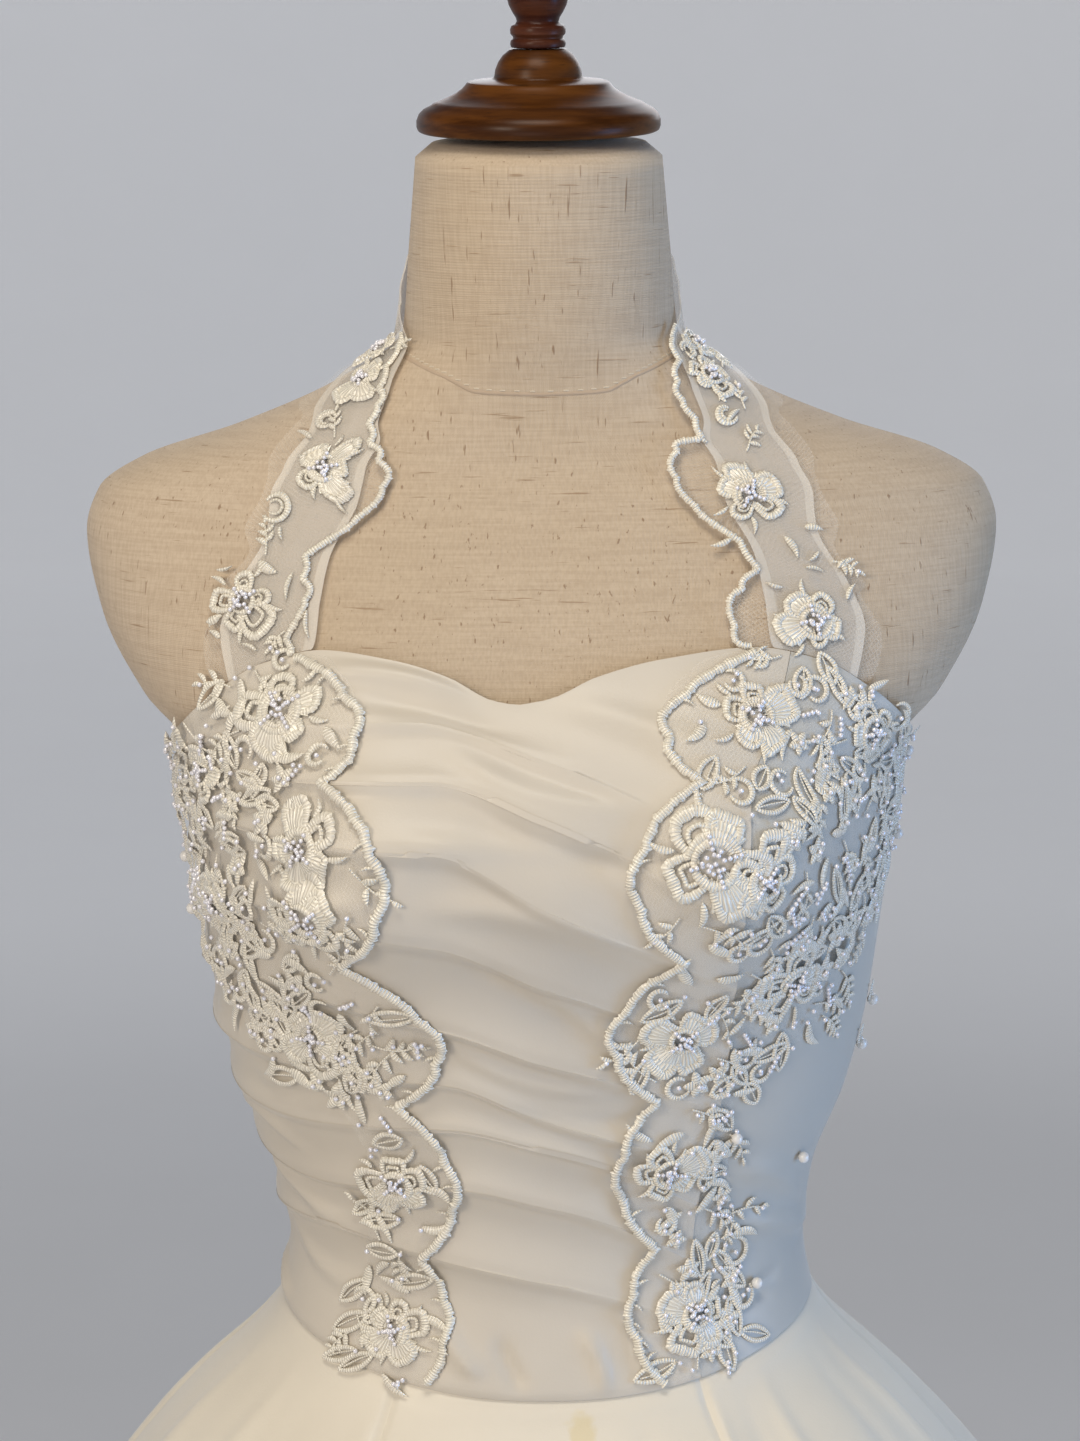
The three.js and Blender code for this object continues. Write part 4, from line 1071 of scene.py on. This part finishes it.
cord = {
    "half": 0.0019, "strapHalf": 0.0014, "lift": 0.0016, "lumps": 0.28, "lobes": 3, "lobeDepth": 1.1,
    "step": 0.0009,
}
lace = {
    "edge": 0.0015,  # kept inside the bodice's top and bottom edges
    "lift": 0.0009, "netWall": 0.0003, "tries": 5200, "bareEdge": 0.0095, "sparseEdge": 0.018, "skipped": 0.82,
    "denseFrom": 0.03, "denseSpacing": 0.0068, "spacing": 0.0084,
}
scallopColumns = ("height", "cusp", "bulge")
laceSides = {
    "right": {
        "sign": 1,
        "scallops": table(scallopColumns, [
            (1.292, 26, 9), (1.246, 22, 9), (1.179, 21, 9.5), (1.116, 17.5, 7), (1.048, 21, 5.5), (0.988, 22, 0)]),
        "outer": table(("along", "angle", "height"), [
            (0, 70, 1.256), (0.08, 84, 1.238), (0.18, 82, 1.216), (0.28, 74, 1.192), (0.38, 62, 1.166),
            (0.48, 53, 1.142), (0.54, 41, 1.126), (0.6, 33, 1.112), (0.68, 34, 1.092), (0.8, 41, 1.056),
            (0.92, 45, 1.018), (1, 37, 0.989)]),
        "flowers": [  # angle, height, radius and turn
            (27, 1.268, 0.017, 20), (52, 1.258, 0.014, 50), (24.5, 1.219, 0.0215, 65), (33, 1.210, 0.0165, 10),
            (43, 1.161, 0.017, 30), (21, 1.143, 0.015, 0), (22, 1.083, 0.014, 40), (31, 1.016, 0.016, 15)],
    },
    "left": {
        "sign": -1,
        "scallops": table(scallopColumns, [
            (1.292, 31, 8), (1.245, 32, 8), (1.177, 32, 12), (1.114, 24.5, 8.5), (1.044, 25, 4), (0.989, 23, 0)]),
        "outer": table(("along", "angle", "height"), [
            (0, 86, 1.246), (0.1, 88, 1.220), (0.22, 84, 1.196), (0.34, 75, 1.170), (0.44, 62, 1.146),
            (0.53, 47, 1.122), (0.6, 36, 1.110), (0.66, 33, 1.094), (0.74, 34, 1.074), (0.83, 39, 1.043),
            (0.92, 43, 1.012), (1, 36, 0.989)]),
        "flowers": [
            (34, 1.270, 0.018, 10), (60, 1.243, 0.013, 35), (36, 1.222, 0.0175, 80), (36, 1.198, 0.0185, 15),
            (62, 1.190, 0.015, 0), (40, 1.140, 0.015, 50), (28, 1.079, 0.015, 5), (32, 1.010, 0.014, 30)],
    },
}


def cordAngle(side, height):
    rows = side["scallops"]
    k = np.clip(np.searchsorted(-rows["height"], -height, side="left"), 1, len(rows["height"]) - 1)
    above, below = rows["height"][k - 1], rows["height"][k]
    t = np.clip((above - height) / (above - below), 0, 1)
    arch = np.sin(np.pi * t) ** 0.8
    lobes = np.abs(np.sin(np.pi * t * cord["lobes"])) * arch
    return mix(rows["cusp"][k - 1], rows["cusp"][k], t) - rows["bulge"][k - 1] * arch - cord["lobeDepth"] * lobes


def lacePlace(side, across, along):
    top, bottom = side["scallops"]["height"][0], side["scallops"]["height"][-1]
    cordHeight = mix(top, bottom, along)
    outerAngle = curveThrough(side["outer"], "along", "angle")(along)
    outerHeight = curveThrough(side["outer"], "along", "height")(along)
    angle = mix(cordAngle(side, cordHeight), outerAngle, across)
    height = mix(cordHeight, outerHeight, across)
    highest = neckline(side["sign"] * angle) - lace["edge"]
    lowest = waistSeam(angle) + lace["edge"]
    height = mix(mix(height, highest, 1 - smooth(along / 0.12)), lowest, smooth((along - 0.93) / 0.07))
    return angle, np.clip(height, lowest, highest)


def lacedOut(angle, height):  # the net lies over the folds and doesn't dip into them
    over = np.zeros(np.shape(angle))
    onDrape = np.minimum(angle, cloth["princess"])
    for step in (-0.006, -0.003, 0, 0.003, 0.006):
        over = np.maximum(over, pleatRelief(onDrape, height + step)[0])
    over = over * (1 - smooth((angle - cloth["princess"] + 1) / 7))
    creases = np.maximum(creaseRelief(softCreases, folded(angle), height, drape["degree"]), 0)
    return bodiceOut + over + creases + lace["lift"]


def cordHalf(run, half):  # lumpy, with stitches of uneven length
    stitches = np.where(np.arange(len(run)) % 2, 0.84, 1.12) + 0.12 * np.sin(np.arange(len(run)) * 2.4)
    return half * (1 + cord["lumps"] * ripple(run, 0.3 * run, 3)) * stitches


def laceMotifs(side, work):
    rng = work.random
    placed = []
    for angle, height, radius, turn in side["flowers"]:
        flower(work, side["sign"] * angle, height, radius, turn)
        placed.append((angle, height, radius * 0.98))
    heights = np.arange(side["scallops"]["height"][0] - 0.001, side["scallops"]["height"][-1], -cord["step"])
    angles = side["sign"] * cordAngle(side, heights)
    heights = np.clip(heights, waistSeam(angles) + 0.002, neckline(angles) - 0.0022)
    work.run(angles + 0.2 * ripple(heights * 800, 0, 6), heights, cordHalf(heights * 1300, cord["half"]), cord["lift"])
    for k in range(0, len(heights), 9):  # short points that tie the cord to the net
        if rng.random() < 0.5:
            leaf(work, work.spot(angles[k], heights[k]), 0.0012, 0, rng.uniform(-60, 60), 0.0055, 0.0013)
    made = 0
    for _ in range(lace["tries"]):
        along, across = rng.random(), rng.random() ** 0.85
        angle, height = (float(v) for v in lacePlace(side, np.array(across), np.array(along)))
        degree = math.radians(1) * float(section["half"](height)) * 1.02
        clear = (angle - float(cordAngle(side, np.array(height)))) * degree
        if clear < lace["bareEdge"] or (clear < lace["sparseEdge"] and rng.random() < lace["skipped"]):
            continue
        spacing = lace["denseSpacing"] if clear > lace["denseFrom"] else lace["spacing"]
        if any(math.hypot((angle - a) * degree, height - h) < max(r, spacing) for a, h, r in placed):
            continue
        placed.append((angle, height, spacing))
        spot = work.spot(side["sign"] * angle, height)
        turn, kind = rng.gauss(-95, 70), rng.random()
        if kind < 0.26:
            length, width = rng.uniform(0.010, 0.016), rng.uniform(0.003, 0.0048)
            leaf(work, spot, 0, 0, turn, length, width, rng.uniform(-0.2, 0.2))
        elif kind < 0.48:
            openLeaf(work, spot, 0, 0, turn, rng.uniform(0.012, 0.020), rng.uniform(0.005, 0.0075))
        elif kind < 0.70:
            spray(work, spot, 0, 0, turn, rng.uniform(0.013, 0.023), rng.randint(4, 7), 0.0066)
        elif kind < 0.80:
            curl(work, spot, 0, 0, turn, rng.uniform(0.0042, 0.0066), 0.0026)
            work.bead(spot, 0, 0)
        elif kind < 0.90:
            rosette(work, spot, rng.uniform(0.005, 0.0075))
        else:
            beadRow(work, spot, 0, 0, turn, rng.uniform(0.006, 0.012))
        if rng.random() < 0.55:
            work.bead(spot, rng.uniform(-0.003, 0.003), rng.uniform(-0.003, 0.003), None, 0.0004)
        made += 1
    print(work.name, made, "filling motifs,", len(work.beads), "beads")


threadMarks = [{  # a small rust-brown mark on the large right flower
    "at": tuple(onCloth(33.5, 1.2085, 0.008)), "spread": (0.0032, 0.008, 0.0034), "strength": 0.85,
    "color": (0.42, 0.17, 0.04, 1)}]
threads = threadFinish(threadMarks)
beadGlass = plainFinish("silverBeads", (0.90, 0.88, 0.91, 1), {
    "Metallic": 0.22, "Roughness": 0.14, "Coat Weight": 0.8, "Coat Roughness": 0.05})
pearlFinish = plainFinish("ivoryPearls", (0.86, 0.83, 0.78, 1), {
    "Roughness": 0.18, "Coat Weight": 0.7, "Coat Roughness": 0.08, "Sheen Weight": 0.2})
laceNetFinish = netFinish("laceNet", (0.98, 0.94, 0.85, 1), 0.95, 0.0011)

for sideName, side in laceSides.items():
    title = sideName.capitalize()

    def netPlace(u, v, side=side):
        across = u if side["sign"] > 0 else 1 - u
        angle, height = lacePlace(side, across, 1 - v)
        angle = side["sign"] * angle
        return onCloth(angle, height, lacedOut(angle, height))

    net = gridPiece(f"laceNet{title}", 46, 150, netPlace, laceNetFinish, lace["netWall"], (0.12, 0.31))
    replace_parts(net, f"lace_{sideName}")
    work = ThreadWork(f"laceStitches{title}", side["sign"], onCloth, lacedOut, 20 + side["sign"])
    laceMotifs(side, work)
    stitches = work.make(threads)
    beads = work.makeBeads(f"laceBeads{title}", beadGlass)
pearls = {
    "radius": 0.0025, "twigsFrom": 65,  # degrees from the front, where the pearls sit on twigs
    "places": [  # angle and height of the single pearls along the lace's outer edges
        (35, 1.095), (61, 1.076), (49, 1.023), (88, 1.238), (87, 1.203), (84, 1.133), (82, 1.115),
        (-87, 1.196), (-86, 1.174)],
}
pearlWork = ThreadWork("pearlTwigs", 1, onCloth, lacedOut, 5)
for angle, height in pearls["places"]:
    way, spot = (1 if angle > 0 else -1), pearlWork.spot(angle, height)
    if abs(angle) > pearls["twigsFrom"]:
        spray(pearlWork, spot, -0.015 * way, 0.010, -90 + 56 * way, 0.0165, 5, 0.0062)
    pearlWork.bead(spot, 0, 0, pearls["radius"])
pearlWork.make(threads)
pearlWork.makeBeads("lacePearls", pearlFinish)
print("bodice lace made")


# The seam round the foot of the form's neck

def seamOut(angle, height):
    return np.zeros(np.shape(angle))


seamWork = ThreadWork("neckSeam", 1, onForm, seamOut, 8)
around = np.linspace(-180, 180, 361)
seamWork.run(around, seamHeight(np.abs(around)), 0.0007, 0.0003)
neckSeam = seamWork.make(neckRidge)
stitchWork = ThreadWork("neckSeamStitches", 1, onForm, seamOut, 9)
for angle in np.arange(-178, 179, 3.6):
    spot = stitchWork.spot(angle, seamHeight(abs(angle)) + 0.0012)
    stitchWork.lay(spot, [(-0.0011, 0), (0, 0.0001), (0.0011, 0)], 0.0003, 0.0003)
stitchWork.make(seamThread)
print("neck seam made")


# The halter straps

strap = {"gap": 0.002, "wall": 0.001, "thickness": 0.0003, "foldShare": 0.11, "foot": 0.0003, "laceLift": 0.0006}
strapRun = table(("along", "neckAngle", "neckHeight", "armAngle", "armHeight"), [
    (0, 28, 1.2936, 43, 1.2806), (0.1, 26, 1.308, 42, 1.298), (0.25, 24, 1.328, 38, 1.316),
    (0.4, 21, 1.350, 33, 1.338), (0.52, 25, 1.369, 35, 1.358), (0.63, 33, 1.380, 46, 1.375),
    (0.75, 42, 1.392, 60, 1.384), (0.88, 58, 1.408, 79, 1.395), (1, 84, 1.424, 92, 1.402)])
strapAt = {c: curveThrough(strapRun, "along", c) for c in ("neckAngle", "neckHeight", "armAngle", "armHeight")}
strapEdges = table(("along", "left", "right", "tips"), [
    (0, -0.2, 0.25, 0.08), (0.07, -0.26, 0.32, 0.24), (0.14, -0.12, 0.2, 0.14), (0.21, -0.2, 0.03, 0.08),
    (0.27, -0.25, 0.12, 0.24), (0.34, 0.1, 0.4, 0.12), (0.42, 0.24, 0.46, 0.28), (0.49, 0.1, 0.36, 0.1),
    (0.55, -0.1, 0.03, 0.2), (0.62, -0.1, 0.16, 0.3), (0.69, -0.05, 0.26, 0.14), (0.76, -0.12, 0.22, 0.26),
    (0.84, -0.15, 0.05, 0.12), (0.93, -0.1, 0.12, 0.2)])
strapEdgeAt = {c: curveThrough(strapEdges, "along", c) for c in ("left", "right", "tips")}
laceShareOfStrap = 0.925  # the lace ends this far along the strap


def strapPlace(sign, along, across):
    angle = mix(strapAt["neckAngle"](along), strapAt["armAngle"](along), across)
    free = mix(strapAt["neckHeight"](along), strapAt["armHeight"](along), across)
    foot = neckline(sign * angle) + strap["foot"]
    return angle, mix(foot, free, smooth(along / 0.12))


def strapCreases(along, across):
    lengthwise = bell(across - 0.42 - 0.12 * np.sin(5 * along), 0.09) * 0.0005
    edges = (1 - smooth(np.minimum(across, 1 - across) / strap["foldShare"])) * 0.0003
    return lengthwise + edges + 0.0002 * np.sin(17 * along + 6 * across)


strapMotifs = {
    "right": {
        "sign": 1,
        "flowers": [  # angle, height, radius and turn
            (24.5, 1.350, 0.0135, 25), (33, 1.302, 0.0145, 60), (54, 1.3945, 0.011, 0), (75, 1.405, 0.010, 30)],
        "leaves": [  # angle, height, turn, length and width
            (21, 1.334, -160, 0.009, 0.0026), (28, 1.334, -60, 0.011, 0.0030), (31, 1.337, -10, 0.008, 0.0028),
            (33, 1.328, -140, 0.006, 0.0018), (31, 1.322, -15, 0.008, 0.0016), (36, 1.321, 40, 0.006, 0.0018),
            (28, 1.315, 160, 0.007, 0.0018), (26, 1.370, 130, 0.008, 0.0020), (36, 1.377, 30, 0.010, 0.0022),
            (44, 1.384, 100, 0.008, 0.0024), (64, 1.401, 20, 0.009, 0.0022), (38, 1.309, 55, 0.008, 0.0022)],
        "sprays": [(30, 1.366, 35, 0.013), (35, 1.324, -30, 0.012), (46, 1.381, 60, 0.012), (66, 1.396, 10, 0.012)],
        "curls": [(39, 1.380, 200, 0.0045), (61, 1.404, 40, 0.0042)],
    },
    "left": {
        "sign": -1,
        "flowers": [(29, 1.361, 0.0125, 40), (37, 1.3105, 0.0145, 10), (56, 1.393, 0.011, 20), (76, 1.404, 0.010, 0)],
        "leaves": [
            (34, 1.326, -150, 0.0095, 0.0042), (29, 1.322, -80, 0.012, 0.0022), (27.5, 1.308, -100, 0.012, 0.0020),
            (41, 1.322, 165, 0.007, 0.0016), (44, 1.302, 150, 0.007, 0.0036), (42, 1.296, 30, 0.006, 0.0026),
            (24, 1.350, -120, 0.008, 0.0018), (40, 1.371, 20, 0.009, 0.0022), (46, 1.381, -30, 0.008, 0.0022),
            (66, 1.398, 20, 0.009, 0.0024), (31, 1.339, -100, 0.006, 0.0016), (36, 1.292, 20, 0.008, 0.0018)],
        "sprays": [(33, 1.328, 70, 0.013), (36, 1.372, 60, 0.012), (47, 1.386, 70, 0.012), (66, 1.405, 140, 0.012),
                   (31, 1.300, -60, 0.009)],
        "curls": [(32.5, 1.3465, 180, 0.0062), (45, 1.378, 20, 0.0044)],
    },
}
organza = organzaFinish(strap)
strapNetFinish = netFinish("strapNet", (0.88, 0.83, 0.74, 1), 0.92, 0.0011)


def strapOut(angle, height):
    return np.full(np.shape(angle), strap["gap"] + strap["wall"] + strap["laceLift"])


for sideName, motifs in strapMotifs.items():
    sign, title = motifs["sign"], sideName.capitalize()

    def bandPlace(u, v, sign=sign):
        across = u if sign > 0 else 1 - u
        angle, height = strapPlace(sign, v, across)
        out = strap["gap"] + strap["wall"] * 0.6 + strapCreases(v, across) * smooth(v / 0.05)
        return onForm(sign * angle, height, out)

    def strapNetPlace(u, v, sign=sign, sideName=sideName):
        along = v * laceShareOfStrap
        first, last = -strapEdgeAt[sideName](along), 1 + strapEdgeAt["tips"](along)
        across = mix(first, last, u if sign > 0 else 1 - u)
        angle, height = strapPlace(sign, along, across)
        return onForm(sign * angle, height, strapOut(angle, height) - 0.0001)

    band = gridPiece(f"strapBand{title}", 34, 150, bandPlace, organza, strap["thickness"], (1, 6))
    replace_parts(band, f"strap_net_{sideName}")
    net = gridPiece(
        f"strapNet{title}", 40, 150, strapNetPlace, strapNetFinish, lace["netWall"], (0.032, 0.24))
    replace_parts(net, f"strap_lace_{sideName}")
    work = ThreadWork(f"strapStitches{title}", sign, onForm, strapOut, 40 + sign)
    alongs = np.linspace(0.004, laceShareOfStrap, 360)
    lobes = 0.05 * np.abs(np.sin(alongs * 46)) - 0.02
    angles, heights = strapPlace(sign, alongs, -strapEdgeAt[sideName](alongs) - lobes)
    work.run(sign * angles, heights, cordHalf(alongs * 350, cord["strapHalf"]), cord["lift"] * 0.8)
    for angle, height, radius, turn in motifs["flowers"]:
        flower(work, sign * angle, height, radius, turn)
    for angle, height, turn, length, width in motifs["leaves"]:
        leaf(work, work.spot(sign * angle, height), 0, 0, turn, length, width, 0.1, 0.0012)
    for angle, height, turn, length in motifs["sprays"]:
        spray(work, work.spot(sign * angle, height), 0, 0, turn, length, 6)
    for angle, height, turn, radius in motifs["curls"]:
        spot = work.spot(sign * angle, height)
        curl(work, spot, 0, 0, turn, radius)
        curl(work, spot, 0, 0, turn, radius * 0.55, 0.0014)
    stitches = work.make(threads)
    beads = work.makeBeads(f"strapBeads{title}", beadGlass)

nape = {
    "from": 84.0, "slant": 8.0, "gap": 0.5, "spread": 14.0, "gathers": 0.0007, "thickness": 0.0006,
    "area": 0.0067,  # the most that its flat cut's rectangle holds
}
napeRun = table(("angle", "top", "bottom"), [
    (84, 1.424, 1.402), (105, 1.442, 1.416), (135, 1.458, 1.428), (180, 1.464, 1.434)])


def napePlace(u, v):
    angle, up = mix(nape["from"], 360 - nape["from"], u), v
    near = np.where(angle > 180, 360 - angle, angle)
    inset = nape["gap"] + nape["slant"] * (1 - up) * bell(near - nape["from"], nape["spread"])
    placed = angle + np.where(angle > 180, -inset, inset)
    height = mix(curveThrough(napeRun, "angle", "bottom")(near), curveThrough(napeRun, "angle", "top")(near), up)
    gathers = nape["gathers"] * ripple(placed * 0.35, up * 2.2, 17, 1.6)
    return onForm(placed, height, strap["gap"] + strap["wall"] * 0.7 + gathers)


napeBand = gridPiece("napeBand", 170, 30, napePlace, organza, nape["thickness"], (4, 1))
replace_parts(napeBand, "neck_band")


# Floor, backdrop, light and camera

studio = {"floorRadius": 9.0, "bend": 3.0, "wallTop": 3.0, "around": 97, "rows": 100}


def backdropPlace(u, v):  # a wide round floor that curves up into a wall on every side
    quarter = studio["bend"] * math.pi / 2
    run = v ** 1.5 * (studio["floorRadius"] + quarter + studio["wallTop"])
    turn = np.clip((run - studio["floorRadius"]) / quarter, 0, 1) * math.pi / 2
    reach = np.minimum(run, studio["floorRadius"]) + studio["bend"] * np.sin(turn)
    z = studio["bend"] * (1 - np.cos(turn)) + np.maximum(run - studio["floorRadius"] - quarter, 0)
    return np.stack([reach * np.sin(2 * np.pi * u), -reach * np.cos(2 * np.pi * u), z], -1)


backdrop, _ = movedGrid("paleBackdrop", studio["around"], studio["rows"], backdropPlace)
faceOutwards(backdrop, weldReach)
bpy.ops.object.shade_smooth()
paper = Finish("palePaper", {"Roughness": 0.85, "Specular IOR Level": 0.2, "Emission Strength": 1.0})
paper.material.cycles.emission_sampling = "NONE"
paperTone = paper.noise(paper.place(), 3.0, 3.0)
# painted light: the backdrop glows, not at all within a metre of the middle and fully beyond five metres, so the far
# floor and walls look lit
glow = paper.blend(paper.ramp(paper.length(paper.place()), 1.0, 5.0), (0, 0, 0, 1), (0.27, 0.275, 0.29, 1))
backdrop.data.materials.append(paper.set(
    Base_Color=paper.blend(paperTone, (0.70, 0.69, 0.675, 1), (0.74, 0.73, 0.72, 1)), Emission_Color=glow))


def softLight(name, place, aimHeight, size, power, color):
    data = bpy.data.lights.new(name, "AREA")
    data.shape, data.size, data.size_y = "RECTANGLE", size[0], size[1]
    data.energy, data.color = power, color
    light = linked(name, data)
    light.location = place
    light.rotation_euler = (Vector((0, 0, aimHeight)) - Vector(place)).to_track_quat("-Z", "Y").to_euler()


for lightRow in [  # name, place, height it points at, size, power and color
    ("warmKey", (-1.7, -2.6, 2.35), 1.15, (0.9, 0.9), 37, (1.0, 0.88, 0.73)),
    ("coolWindow", (2.2, -0.7, 0.9), 1.05, (0.8, 1.2), 22, (0.22, 0.50, 1.0)),
    ("topLight", (-0.1, -0.9, 2.9), 1.1, (0.9, 0.7), 18, (1.0, 0.94, 0.84)),
    ("frontFill", (-0.4, -2.3, 0.7), 1.05, (1.4, 0.9), 6, (0.93, 0.92, 1.0)),
    ("backFill", (0.4, 2.0, 2.3), 1.1, (1.6, 1.4), 16, (0.95, 0.96, 1.0)),
]:
    softLight(*lightRow)
world = bpy.data.worlds.new("softRoom")
world.use_nodes = True
sky = world.node_tree.nodes["Background"].inputs
sky["Color"].default_value, sky["Strength"].default_value = (0.70, 0.79, 0.95, 1), 0.12
bpy.context.scene.world = world
bpy.context.scene.view_settings.view_transform = "Standard"

view = {"target": (-0.0013, 0, 1.250), "distance": 1.400, "elevation": 11.0, "roll": 0.45, "lens": 83.5}
cameraData = bpy.data.cameras.new("photoCamera")
cameraData.lens = view["lens"]
cameraData.sensor_fit, cameraData.sensor_height = "VERTICAL", 36.0
cameraData.clip_start, cameraData.clip_end = 0.05, 50
camera = linked("photoCamera", cameraData)
lift, roll = math.radians(view["elevation"]), math.radians(view["roll"])
forward = Vector((0, math.cos(lift), -math.sin(lift)))
level, upright = Vector((1, 0, 0)), Vector((0, math.sin(lift), math.cos(lift)))
right = level * math.cos(roll) - upright * math.sin(roll)
top = level * math.sin(roll) + upright * math.cos(roll)
spotOfCamera = Vector(view["target"]) - forward * view["distance"]
camera.matrix_world = Matrix((
    (right.x, top.x, -forward.x, spotOfCamera.x), (right.y, top.y, -forward.y, spotOfCamera.y),
    (right.z, top.z, -forward.z, spotOfCamera.z), (0, 0, 0, 1)))
bpy.context.scene.camera = camera
print("stage, light and camera made")
